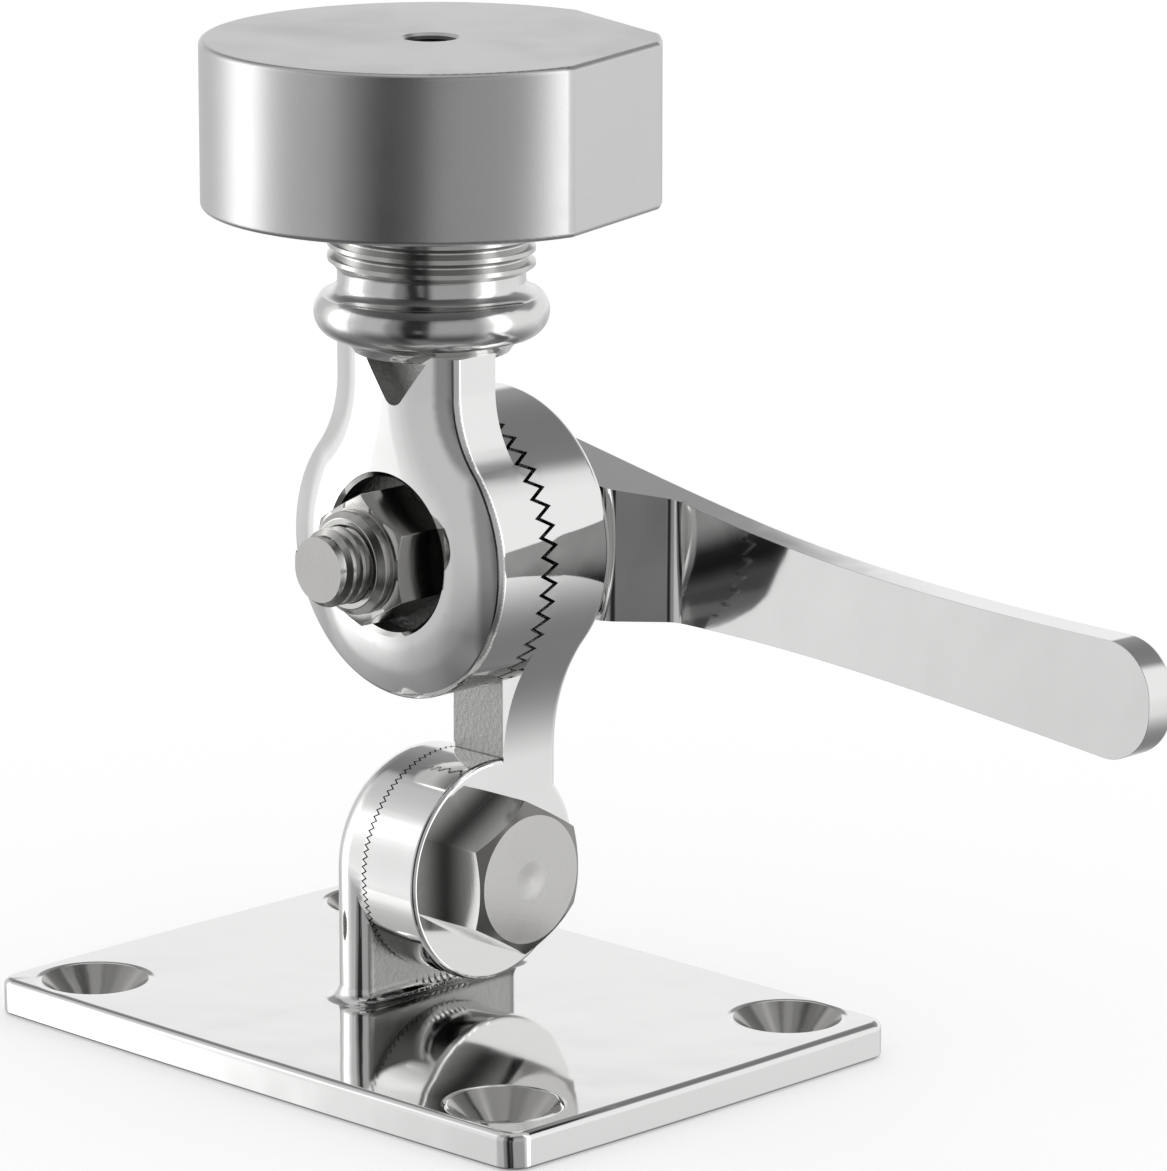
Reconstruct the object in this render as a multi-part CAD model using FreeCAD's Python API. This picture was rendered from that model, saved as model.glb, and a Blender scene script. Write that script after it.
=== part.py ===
import FreeCAD, Part
import math
import os

from FreeCAD import Vector

# Stainless ratchet mount for a boat antenna: a bolted-down base casting with one ear, a link
# casting that tilts on the ear about X, a head casting that tilts on the link about Y, a
# clamping lever, and an aluminium adapter screwed on the head's thread. Millimetres, +Z up,
# origin in the middle of the base plate's underside. +X runs along the plate, +Y to the lever.

# Base plate
PLATE_LENGTH = 92.8
PLATE_WIDTH = 65.9
PLATE_THICKNESS = 4.5
PLATE_SIDE_BOW = 0.35
PLATE_CORNER_RADIUS = 3.0
PLATE_TOP_ROUND = 1.0
PLATE_UNDER_ROUND = 0.4
SCREW_INSET_X = 10.1
SCREW_INSET_Y = 8.45
SCREW_HOLE_RADIUS = 3.5
COUNTERSINK_RADIUS = 6.7

# Axis of the antenna thread, straight up through both joints
THREAD_AXIS_X = -3.7
THREAD_AXIS_Y = 3.1

# Lower joint: fine radial teeth, axis along X
LOWER_AXIS_Y = 4.9
LOWER_AXIS_Z = 21.0
LOWER_MESH_X = -3.7
LOWER_RADIUS = 13.9
LOWER_TEETH = 96
LOWER_TOOTH_HEIGHT = 0.7
LOWER_MESH_GAP = 0.3
LOWER_RELIEF_RADIUS = 8.5
LOWER_RELIEF_DEPTH = 0.5

# Upper joint: coarse radial teeth, axis along Y
UPPER_AXIS_Z = 61.1
UPPER_MESH_Y = 5.0
UPPER_TEETH = 48
UPPER_TOOTH_HEIGHT = 2.2
UPPER_MESH_GAP = 0.9
UPPER_RELIEF_RADIUS = 10.5
UPPER_RELIEF_DEPTH = 1.2

# Ear of the base casting
EAR_THICKNESS = 6.2
EAR_BACK_ROUND = 3.6
EAR_FRONT_ROUND = 2.2
EAR_FOOT_FILLET = 1.9

# Link casting
LINK_LOWER_THICKNESS = 8.2
LINK_RIM_ROUND = 0.6
LINK_RIM_STEP = 0.1
LINK_UPPER_THICKNESS = 9.6
LINK_UPPER_BACK_ROUND = 1.5
COLUMN_WIDTH_X = 8.86
COLUMN_FRONT_FLARE = 24.0
COLUMN_BACK_FLARE = 3.0

# Head casting
RING_RADIUS = 18.3
RING_FRONT_Y = -5.05
RING_DOME_DEPTH = 2.0
RING_DOME_WIDTH = 6.0
RING_DOME_ROUND = 26.0
RING_EDGE_ROUND = 1.0
NECK_HALF_WIDTH = 10.6
NECK_BLEND_RADIUS = 14.0
NECK_TOP_Z = 86.5
NUT_POCKET_RADIUS = 9.7
NUT_POCKET_DEPTH = 3.05
NUT_POCKET_LIP = 0.6
NOTCH_WIDTH = 10.2
NOTCH_HEIGHT = 6.7
NOTCH_DEPTH = 3.4
NOTCH_OFFSET_X = 1.5
NOTCH_ROUND = 1.6
FLANGE_TOP_Z = 94.2
FLANGE_RIM_Z = 92.6
FLANGE_RIM_RADIUS = 13.5
FLANGE_WIDEST_Z = 90.4
FLANGE_RADIUS = 14.4
FLANGE_UNDER_Z = 87.7
FLANGE_UNDER_RADIUS = 12.8
FLANGE_ROOT_Z = 85.6
FLANGE_ROOT_RADIUS = 9.6
UNDERCUT_RADIUS = 11.5
UNDERCUT_HEIGHT = 1.4
THREAD_RADIUS = 12.7
THREAD_TOP_Z = 115.0
THREAD_CHAMFER = 1.2

# Lower bolt, screwed into the ear from the +X side
LOWER_BOLT_RADIUS = 5.0
LOWER_BOLT_TIP_RADIUS = 4.15
LOWER_BOLT_FLATS = 17.0
LOWER_BOLT_HEAD_HEIGHT = 6.4
LOWER_BOLT_FACE_RADIUS = 8.05
LOWER_BOLT_STICK_OUT = 0.3
LOWER_BOLT_DIMPLE_RADIUS = 2.6
LOWER_BOLT_DIMPLE_DEPTH = 0.25

# Clamp bolt, lock nut and washer of the upper joint
CLAMP_BOLT_RADIUS = 4.76
CLAMP_BOLT_TIP_RADIUS = 4.1
CLAMP_BOLT_FLATS = 14.3
CLAMP_BOLT_HEAD_HEIGHT = 5.9
CLAMP_BOLT_FACE_RADIUS = 6.8
CLAMP_BOLT_LENGTH = 40.0
CLAMP_BOLT_END_Y = -16.3
NUT_FLATS = 14.3
NUT_HEIGHT = 9.8
NUT_HEX_HEIGHT = 7.7
NUT_FACE_RADIUS = 7.2
NUT_COLLAR_RADIUS = 6.4
NUT_COLLAR_ROLL = 0.8
INSERT_WALL = 0.8
INSERT_DEPTH = 2.6
INSERT_INSET = 0.25
WASHER_RADIUS = 9.6
WASHER_THICKNESS = 0.95
BOLT_TIP_CHAMFER = 0.9
HEAD_CHAMFER_ANGLE = 30.0
BOLT_BORE_CLEARANCE = 0.1
THREAD_CLEARANCE = 0.05

# Lever
HUB_RADIUS = 10.0
HUB_THICKNESS = 10.3
HUB_FLAT_LENGTH = 15.6
PADDLE_THICKNESS = 4.7
PADDLE_START = 22.4
PADDLE_HALF_WIDTH = 7.1
PADDLE_LENGTH = 98.2
PADDLE_DROP = 6.6
PADDLE_TIP_RADIUS = 6.4
WAIST_TOP = 3.4
WAIST_BOTTOM = -9.6
LEVER_EDGE_ROUND = 0.9
BEND_INNER_ROUND = 3.2
BEND_OUTER_ROUND = 4.5
HEX_POCKET_CLEARANCE = 0.1

# Adapter
ADAPTER_RADIUS = 28.0
ADAPTER_BOTTOM_Z = 103.4
ADAPTER_HEIGHT = 20.5
ADAPTER_EDGE_ROUND = 0.7
ADAPTER_FLAT_DISTANCE = 26.0
ADAPTER_FLAT_ANGLES = (15.0, 73.0)
ADAPTER_BORE_ROOM = 1.0
ADAPTER_BORE_CHAMFER = 1.0
TAPPED_HOLE_RADIUS = 2.9
TAPPED_HOLE_MOUTH_RADIUS = 3.6

# Places worked out from the sizes above
SCREW_SPACING_X = PLATE_LENGTH - 2 * SCREW_INSET_X
SCREW_SPACING_Y = PLATE_WIDTH - 2 * SCREW_INSET_Y
LINK_UPPER_RADIUS = RING_RADIUS + LINK_RIM_STEP
LOWER_CENTRE = Vector(LOWER_MESH_X, LOWER_AXIS_Y, LOWER_AXIS_Z)
UPPER_CENTRE = Vector(THREAD_AXIS_X, UPPER_MESH_Y, UPPER_AXIS_Z)
EAR_FACE_X = LOWER_MESH_X - (LOWER_TOOTH_HEIGHT + LOWER_MESH_GAP) / 2
EAR_TIP_X = EAR_FACE_X + LOWER_TOOTH_HEIGHT
EAR_BACK_X = EAR_FACE_X - EAR_THICKNESS
LINK_TOOTH_ROOT_X = LOWER_MESH_X + (LOWER_TOOTH_HEIGHT + LOWER_MESH_GAP) / 2
LINK_FRONT_X = LINK_TOOTH_ROOT_X + LINK_LOWER_THICKNESS
RING_TOOTH_ROOT_Y = UPPER_MESH_Y - (UPPER_TOOTH_HEIGHT + UPPER_MESH_GAP) / 2
RING_TIP_Y = RING_TOOTH_ROOT_Y + UPPER_TOOTH_HEIGHT
LINK_TOOTH_ROOT_Y = UPPER_MESH_Y + (UPPER_TOOTH_HEIGHT + UPPER_MESH_GAP) / 2
LINK_TIP_Y = LINK_TOOTH_ROOT_Y - UPPER_TOOTH_HEIGHT
LINK_BACK_Y = LINK_TOOTH_ROOT_Y + LINK_UPPER_THICKNESS
WASHER_BACK_Y = LINK_BACK_Y + WASHER_THICKNESS
HUB_FRONT_Y = WASHER_BACK_Y
HUB_BACK_Y = HUB_FRONT_Y + HUB_THICKNESS
PADDLE_FRONT_Y = HUB_BACK_Y - PADDLE_THICKNESS
CLAMP_HEAD_SEAT_Y = CLAMP_BOLT_END_Y + CLAMP_BOLT_LENGTH
NUT_BACK_Y = RING_FRONT_Y + NUT_POCKET_DEPTH
NUT_TOP_Y = NUT_BACK_Y - NUT_HEIGHT
LOWER_BORE_RADIUS = LOWER_BOLT_RADIUS + BOLT_BORE_CLEARANCE
LOWER_TAPPED_RADIUS = LOWER_BOLT_RADIUS + THREAD_CLEARANCE
CLAMP_BORE_RADIUS = CLAMP_BOLT_RADIUS + BOLT_BORE_CLEARANCE
CLAMP_TAPPED_RADIUS = CLAMP_BOLT_RADIUS + THREAD_CLEARANCE


def cylinder_x(radius, x_from, x_to, y, z):
    return Part.makeCylinder(radius, x_to - x_from, Vector(x_from, y, z), Vector(1, 0, 0))


def cylinder_y(radius, y_from, y_to, x, z):
    return Part.makeCylinder(radius, y_to - y_from, Vector(x, y_from, z), Vector(0, 1, 0))


def cylinder_z(radius, z_from, z_to, x, y):
    return Part.makeCylinder(radius, z_to - z_from, Vector(x, y, z_from), Vector(0, 0, 1))


def box_between(low, high):
    return Part.makeBox(high[0] - low[0], high[1] - low[1], high[2] - low[2], Vector(*low))


def edges_where(shape, wanted):
    return [edge for edge in shape.Edges if wanted(edge)]


def edge_lies_at(edge, axis, value, tolerance=1e-4):
    """Whether the whole edge lies in the plane where coordinate number axis has this value."""
    box = edge.BoundBox
    low = (box.XMin, box.YMin, box.ZMin)[axis]
    high = (box.XMax, box.YMax, box.ZMax)[axis]
    return abs(low - value) < tolerance and abs(high - value) < tolerance


def turned_solid(profile, centre, direction):
    """Revolves (radius, height) points about an axis through centre along direction."""
    across = Vector(0, 0, 1) if abs(direction.z) < 0.5 else Vector(1, 0, 0)
    points = [centre + across * radius + direction * height for radius, height in profile]
    face = Part.Face(Part.makePolygon(points + points[:1]))
    return face.revolve(centre, direction, 360)


def joint_point(centre, axis, across, upward, along):
    """A point near a joint, from its distances across, upward and along the joint's axis."""
    if axis == "X":
        return centre + Vector(along, across, upward)
    return centre + Vector(upward, along, across)


def tooth_cutter(centre, axis, count, height, rim_radius, side):
    """Solid that leaves radial V teeth: all flanks run to one point on the joint's axis.

    side is +1 to take away what lies beyond the teeth along the axis, and -1 for before them.
    """
    reach = 1.2 * rim_radius
    swing = 0.5 * height * reach / rim_radius
    depth = side * 4.0 * height
    low = []
    high = []
    for step in range(2 * count):
        angle = math.pi * step / count
        across = reach * math.cos(angle)
        upward = reach * math.sin(angle)
        rise = swing if step % 2 == 0 else -swing
        low.append(joint_point(centre, axis, across, upward, rise))
        high.append(joint_point(centre, axis, across, upward, depth))
    apex = joint_point(centre, axis, 0, 0, 0)
    faces = [Part.Face(Part.makePolygon(high + high[:1]))]
    for step in range(2 * count):
        after = (step + 1) % (2 * count)
        flank = [apex, low[step], low[after], apex]
        wall = [low[step], low[after], high[after], high[step], low[step]]
        faces.append(Part.Face(Part.makePolygon(flank)))
        faces.append(Part.Face(Part.makePolygon(wall)))
    solid = Part.Solid(Part.Shell(faces))
    if solid.Volume < 0:
        solid.reverse()
    return solid


def hexagon_prism(flats, y_or_x_from, length, centre, axis, flat_angle=0.0):
    """Hexagonal prism along X or Y; with flat_angle 0 two flats face square to the axis."""
    corner_radius = flats / math.sqrt(3)
    corners = []
    for step in range(6):
        angle = math.radians(60 * step + 30 + flat_angle)
        corners.append((corner_radius * math.cos(angle), corner_radius * math.sin(angle)))
    points = []
    for across, upward in corners:
        if axis == "X":
            points.append(Vector(y_or_x_from, centre[0] + across, centre[1] + upward))
        else:
            points.append(Vector(centre[0] + across, y_or_x_from, centre[1] + upward))
    direction = Vector(length, 0, 0) if axis == "X" else Vector(0, length, 0)
    return Part.Face(Part.makePolygon(points + points[:1])).extrude(direction)


def plate_outline():
    """Closed wire of the base plate: four slightly bowed sides."""
    half_x = PLATE_LENGTH / 2 - PLATE_SIDE_BOW
    half_y = PLATE_WIDTH / 2 - PLATE_SIDE_BOW
    corners = [Vector(-half_x, -half_y, 0), Vector(half_x, -half_y, 0),
               Vector(half_x, half_y, 0), Vector(-half_x, half_y, 0)]
    middles = [Vector(0, -half_y - PLATE_SIDE_BOW, 0), Vector(half_x + PLATE_SIDE_BOW, 0, 0),
               Vector(0, half_y + PLATE_SIDE_BOW, 0), Vector(-half_x - PLATE_SIDE_BOW, 0, 0)]
    sides = []
    for number in range(4):
        arc = Part.Arc(corners[number], middles[number], corners[(number + 1) % 4])
        sides.append(arc.toShape())
    return Part.Wire(sides)


def base_plate():
    plate = Part.Face(plate_outline()).extrude(Vector(0, 0, PLATE_THICKNESS))
    upright = edges_where(plate, lambda edge: edge.BoundBox.ZLength > PLATE_THICKNESS / 2)
    plate = plate.makeFillet(PLATE_CORNER_RADIUS, upright)
    top = edges_where(plate, lambda edge: edge_lies_at(edge, 2, PLATE_THICKNESS))
    plate = plate.makeFillet(PLATE_TOP_ROUND, top)
    under = edges_where(plate, lambda edge: edge_lies_at(edge, 2, 0.0))
    return plate.makeFillet(PLATE_UNDER_ROUND, under)


def screw_hole_cutter(x, y):
    """Through hole with a right-angled countersink that opens upwards."""
    cone = COUNTERSINK_RADIUS - SCREW_HOLE_RADIUS
    over = 1.0
    profile = [(0, -over), (SCREW_HOLE_RADIUS, -over), (SCREW_HOLE_RADIUS, PLATE_THICKNESS - cone),
               (COUNTERSINK_RADIUS, PLATE_THICKNESS), (COUNTERSINK_RADIUS, PLATE_THICKNESS + over),
               (0, PLATE_THICKNESS + over)]
    return turned_solid(profile, Vector(x, y, 0), Vector(0, 0, 1))


def ear_blank():
    """Upright lug with a round top about the lower axis and a well rounded back."""
    low_y = LOWER_AXIS_Y - LOWER_RADIUS
    high_y = LOWER_AXIS_Y + LOWER_RADIUS
    foot_z = PLATE_THICKNESS / 2
    start = Vector(EAR_BACK_X, low_y, foot_z)
    shoulder = Vector(EAR_BACK_X, low_y, LOWER_AXIS_Z)
    crown = Vector(EAR_BACK_X, LOWER_AXIS_Y, LOWER_AXIS_Z + LOWER_RADIUS)
    far_shoulder = Vector(EAR_BACK_X, high_y, LOWER_AXIS_Z)
    far_foot = Vector(EAR_BACK_X, high_y, foot_z)
    outline = Part.Wire([Part.LineSegment(start, shoulder).toShape(),
                         Part.Arc(shoulder, crown, far_shoulder).toShape(),
                         Part.LineSegment(far_shoulder, far_foot).toShape(),
                         Part.LineSegment(far_foot, start).toShape()])
    ear = Part.Face(outline).extrude(Vector(EAR_THICKNESS, 0, 0))

    def above_foot(edge):
        return edge.BoundBox.ZMax > PLATE_THICKNESS

    back = edges_where(ear, lambda edge: edge_lies_at(edge, 0, EAR_BACK_X) and above_foot(edge))
    ear = ear.makeFillet(EAR_BACK_ROUND, back)
    front = edges_where(ear, lambda edge: edge_lies_at(edge, 0, EAR_FACE_X) and above_foot(edge))
    return ear.makeFillet(EAR_FRONT_ROUND, front)


def base_casting():
    body = base_plate().fuse(ear_blank()).removeSplitter()

    def foot_edge(edge):
        box = edge.BoundBox
        inside = box.XMin > EAR_BACK_X - 1 and box.XMax < EAR_FACE_X + 1
        return inside and edge_lies_at(edge, 2, PLATE_THICKNESS)

    body = body.makeFillet(EAR_FOOT_FILLET, edges_where(body, foot_edge))
    pad = cylinder_x(LOWER_RADIUS, EAR_BACK_X + EAR_BACK_ROUND, EAR_TIP_X, LOWER_AXIS_Y, LOWER_AXIS_Z)
    body = body.fuse(pad)
    mesh = LOWER_CENTRE - Vector(LOWER_MESH_GAP / 2, 0, 0)
    cutter = tooth_cutter(mesh, "X", LOWER_TEETH, LOWER_TOOTH_HEIGHT, LOWER_RADIUS, 1)
    ring_of_teeth = cylinder_x(LOWER_RADIUS + EAR_FRONT_ROUND, EAR_FACE_X, EAR_TIP_X + 1,
                               LOWER_AXIS_Y, LOWER_AXIS_Z)
    body = body.cut(cutter.common(ring_of_teeth))
    body = body.cut(cylinder_x(LOWER_RELIEF_RADIUS, EAR_FACE_X - LOWER_RELIEF_DEPTH, EAR_TIP_X + 1,
                               LOWER_AXIS_Y, LOWER_AXIS_Z))
    body = body.cut(cylinder_x(LOWER_TAPPED_RADIUS, EAR_BACK_X - 1, EAR_TIP_X + 1,
                               LOWER_AXIS_Y, LOWER_AXIS_Z))
    for side_x in (-1, 1):
        for side_y in (-1, 1):
            x = side_x * SCREW_SPACING_X / 2
            y = side_y * SCREW_SPACING_Y / 2
            body = body.cut(screw_hole_cutter(x, y))
    return body


def column_profile():
    """Front outline of the link's column, flaring into the upper disc on both sides."""
    left = LINK_FRONT_X - COLUMN_WIDTH_X
    right = LINK_FRONT_X
    centre_x = THREAD_AXIS_X
    foot_z = LOWER_AXIS_Z + 0.6 * LOWER_RADIUS
    edges = []
    points = []
    for side, wall, flare in ((1, right, COLUMN_FRONT_FLARE), (-1, left, COLUMN_BACK_FLARE)):
        # A circle of the flare's radius touches the wall and the disc's rim from outside
        flare_x = wall + side * flare
        reach = flare + LINK_UPPER_RADIUS
        flare_z = UPPER_AXIS_Z - math.sqrt(reach ** 2 - (flare_x - centre_x) ** 2)
        share = LINK_UPPER_RADIUS / reach
        rim = Vector(centre_x + (flare_x - centre_x) * share, LINK_TOOTH_ROOT_Y,
                     UPPER_AXIS_Z + (flare_z - UPPER_AXIS_Z) * share)
        start = Vector(wall, LINK_TOOTH_ROOT_Y, flare_z)
        middle_angle = math.atan2((start.z + rim.z) / 2 - flare_z, (start.x + rim.x) / 2 - flare_x)
        middle = Vector(flare_x + flare * math.cos(middle_angle), LINK_TOOTH_ROOT_Y,
                        flare_z + flare * math.sin(middle_angle))
        points.append((Vector(wall, LINK_TOOTH_ROOT_Y, foot_z), start, middle, rim))
    right_foot, right_start, right_middle, right_rim = points[0]
    left_foot, left_start, left_middle, left_rim = points[1]
    hub = Vector(centre_x, LINK_TOOTH_ROOT_Y, UPPER_AXIS_Z)
    edges.append(Part.LineSegment(left_foot, right_foot).toShape())
    edges.append(Part.LineSegment(right_foot, right_start).toShape())
    edges.append(Part.Arc(right_start, right_middle, right_rim).toShape())
    edges.append(Part.LineSegment(right_rim, hub).toShape())
    edges.append(Part.LineSegment(hub, left_rim).toShape())
    edges.append(Part.Arc(left_rim, left_middle, left_start).toShape())
    edges.append(Part.LineSegment(left_start, left_foot).toShape())
    return Part.Wire(edges)


def link_casting():
    column = Part.Face(column_profile()).extrude(Vector(0, LINK_UPPER_THICKNESS, 0))
    upper = cylinder_y(LINK_UPPER_RADIUS, LINK_TOOTH_ROOT_Y, LINK_BACK_Y, THREAD_AXIS_X, UPPER_AXIS_Z)
    blade = column.fuse(upper).removeSplitter()
    back = edges_where(blade, lambda edge: edge_lies_at(edge, 1, LINK_BACK_Y)
                       and edge.BoundBox.ZMax > LOWER_AXIS_Z + LOWER_RADIUS)
    blade = blade.makeFillet(LINK_UPPER_BACK_ROUND, back)
    lower = cylinder_x(LOWER_RADIUS, LINK_TOOTH_ROOT_X - LOWER_TOOTH_HEIGHT, LINK_FRONT_X,
                       LOWER_AXIS_Y, LOWER_AXIS_Z)
    body = blade.fuse(lower).removeSplitter()
    rim = edges_where(body, lambda edge: edge_lies_at(edge, 0, LINK_FRONT_X)
                      and isinstance(edge.Curve, Part.Circle)
                      and abs(edge.Curve.Radius - LOWER_RADIUS) < 1e-6)
    body = body.makeFillet(LINK_RIM_ROUND, rim)
    crown = cylinder_y(LINK_UPPER_RADIUS, LINK_TIP_Y, LINK_TOOTH_ROOT_Y + 1, THREAD_AXIS_X, UPPER_AXIS_Z)
    body = body.fuse(crown)
    upper_mesh = UPPER_CENTRE + Vector(0, UPPER_MESH_GAP / 2, 0)
    upper_cutter = tooth_cutter(upper_mesh, "Y", UPPER_TEETH, UPPER_TOOTH_HEIGHT, LINK_UPPER_RADIUS, -1)
    upper_ring = cylinder_y(LINK_UPPER_RADIUS + 0.5, LINK_TIP_Y - 1, LINK_TOOTH_ROOT_Y, THREAD_AXIS_X,
                            UPPER_AXIS_Z)
    body = body.cut(upper_cutter.common(upper_ring))
    lower_mesh = LOWER_CENTRE + Vector(LOWER_MESH_GAP / 2, 0, 0)
    lower_cutter = tooth_cutter(lower_mesh, "X", LOWER_TEETH, LOWER_TOOTH_HEIGHT, LOWER_RADIUS, -1)
    lower_ring = cylinder_x(LOWER_RADIUS + LINK_RIM_ROUND, LINK_TOOTH_ROOT_X - LOWER_TOOTH_HEIGHT - 1,
                            LINK_TOOTH_ROOT_X, LOWER_AXIS_Y, LOWER_AXIS_Z)
    body = body.cut(lower_cutter.common(lower_ring))
    body = body.cut(cylinder_x(LOWER_RELIEF_RADIUS, LINK_TOOTH_ROOT_X - LOWER_TOOTH_HEIGHT - 1,
                               LINK_TOOTH_ROOT_X + LOWER_RELIEF_DEPTH, LOWER_AXIS_Y, LOWER_AXIS_Z))
    body = body.cut(cylinder_x(LOWER_BORE_RADIUS, LINK_TOOTH_ROOT_X - 1, LINK_FRONT_X + 1,
                               LOWER_AXIS_Y, LOWER_AXIS_Z))
    body = body.cut(cylinder_y(UPPER_RELIEF_RADIUS, LINK_TIP_Y - 1, LINK_TOOTH_ROOT_Y + UPPER_RELIEF_DEPTH,
                               THREAD_AXIS_X, UPPER_AXIS_Z))
    bore = cylinder_y(CLAMP_BORE_RADIUS, LINK_TIP_Y - 1, LINK_BACK_Y + 1, THREAD_AXIS_X, UPPER_AXIS_Z)
    return body.cut(bore)


def head_outline():
    """Front outline of ring and neck: a circle that sweeps up into two straight sides."""
    centre_x = THREAD_AXIS_X
    reach = RING_RADIUS + NECK_BLEND_RADIUS
    blend_x = NECK_HALF_WIDTH + NECK_BLEND_RADIUS
    blend_z = math.sqrt(reach ** 2 - blend_x ** 2)
    share = RING_RADIUS / reach
    y = RING_FRONT_Y
    arcs = {}
    for side in (-1, 1):
        rim = Vector(centre_x + side * blend_x * share, y, UPPER_AXIS_Z + blend_z * share)
        neck = Vector(centre_x + side * NECK_HALF_WIDTH, y, UPPER_AXIS_Z + blend_z)
        middle_angle = math.atan2((rim.z + neck.z) / 2 - UPPER_AXIS_Z - blend_z,
                                  side * ((rim.x + neck.x) / 2 - centre_x) - blend_x)
        middle = Vector(centre_x + side * (blend_x + NECK_BLEND_RADIUS * math.cos(middle_angle)), y,
                        UPPER_AXIS_Z + blend_z + NECK_BLEND_RADIUS * math.sin(middle_angle))
        top = Vector(centre_x + side * NECK_HALF_WIDTH, y, NECK_TOP_Z)
        arcs[side] = (rim, middle, neck, top)
    bottom = Vector(centre_x, y, UPPER_AXIS_Z - RING_RADIUS)
    left_rim, left_middle, left_neck, left_top = arcs[-1]
    right_rim, right_middle, right_neck, right_top = arcs[1]
    return Part.Wire([Part.Arc(left_rim, bottom, right_rim).toShape(),
                      Part.Arc(right_rim, right_middle, right_neck).toShape(),
                      Part.LineSegment(right_neck, right_top).toShape(),
                      Part.LineSegment(right_top, left_top).toShape(),
                      Part.LineSegment(left_top, left_neck).toShape(),
                      Part.Arc(left_neck, left_middle, left_rim).toShape()])


def ring_and_neck():
    """The flat body of the head, its front falling away to a crisp edge all round."""
    blank = Part.Face(head_outline()).extrude(Vector(0, RING_TOOTH_ROOT_Y - RING_FRONT_Y, 0))
    front = edges_where(blank, lambda edge: edge_lies_at(edge, 1, RING_FRONT_Y)
                        and edge.BoundBox.ZMin < NECK_TOP_Z - 0.1)
    domed = blank.makeChamfer(RING_DOME_DEPTH, RING_DOME_WIDTH, front)
    inner = edges_where(domed, lambda edge: edge_lies_at(edge, 1, RING_FRONT_Y)
                        and edge.BoundBox.ZMin < NECK_TOP_Z - 0.1)
    domed = domed.makeFillet(RING_DOME_ROUND, inner)
    outer_y = RING_FRONT_Y + RING_DOME_DEPTH
    outer = edges_where(domed, lambda edge: edge_lies_at(edge, 1, outer_y)
                        and edge.BoundBox.ZMin < NECK_TOP_Z - 0.1)
    return domed.makeFillet(RING_EDGE_ROUND, outer)


def thread_and_flange():
    """Turned upper part of the head: rounded bead, undercut and the stub for the thread."""
    undercut_top = FLANGE_TOP_Z + UNDERCUT_HEIGHT

    def place(radius, z):
        return Vector(THREAD_AXIS_X + radius, THREAD_AXIS_Y, z)

    root = place(FLANGE_ROOT_RADIUS, FLANGE_ROOT_Z)
    under = place(FLANGE_UNDER_RADIUS, FLANGE_UNDER_Z)
    rim = place(FLANGE_RIM_RADIUS, FLANGE_RIM_Z)
    top = place(UNDERCUT_RADIUS, FLANGE_TOP_Z)
    sag = 0.16 * (FLANGE_UNDER_Z - FLANGE_ROOT_Z)
    hollow_under = place((FLANGE_ROOT_RADIUS + FLANGE_UNDER_RADIUS) / 2 - sag,
                         (FLANGE_ROOT_Z + FLANGE_UNDER_Z) / 2 + sag)
    dip = 0.2 * (FLANGE_TOP_Z - FLANGE_RIM_Z)
    hollow_top = place((FLANGE_RIM_RADIUS + UNDERCUT_RADIUS) / 2 - dip,
                       (FLANGE_RIM_Z + FLANGE_TOP_Z) / 2 - dip)
    corners = [place(UNDERCUT_RADIUS, undercut_top), place(THREAD_RADIUS, undercut_top + THREAD_CHAMFER),
               place(THREAD_RADIUS, THREAD_TOP_Z - THREAD_CHAMFER),
               place(THREAD_RADIUS - THREAD_CHAMFER, THREAD_TOP_Z), place(0, THREAD_TOP_Z),
               place(0, FLANGE_ROOT_Z), root]
    edges = [Part.Arc(root, hollow_under, under).toShape(),
             Part.Arc(under, place(FLANGE_RADIUS, FLANGE_WIDEST_Z), rim).toShape(),
             Part.Arc(rim, hollow_top, top).toShape()]
    edges += [Part.LineSegment(low, high).toShape() for low, high in zip([top] + corners, corners)]
    face = Part.Face(Part.Wire(edges))
    return face.revolve(Vector(THREAD_AXIS_X, THREAD_AXIS_Y, 0), Vector(0, 0, 1), 360)


def cast_notch():
    """V-shaped hollow left by the mould under the front of the flange."""
    top_z = FLANGE_ROOT_Z
    middle_x = THREAD_AXIS_X + NOTCH_OFFSET_X
    corners = [Vector(middle_x - NOTCH_WIDTH / 2, RING_FRONT_Y - 1, top_z),
               Vector(middle_x + NOTCH_WIDTH / 2, RING_FRONT_Y - 1, top_z),
               Vector(middle_x, RING_FRONT_Y - 1, top_z - NOTCH_HEIGHT)]
    wedge = Part.Face(Part.makePolygon(corners + corners[:1])).extrude(Vector(0, NOTCH_DEPTH + 1, 0))
    along_y = edges_where(wedge, lambda edge: edge.BoundBox.YLength > NOTCH_DEPTH
                          and edge.BoundBox.ZMax < top_z - 1)
    return wedge.makeFillet(NOTCH_ROUND, along_y)


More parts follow.
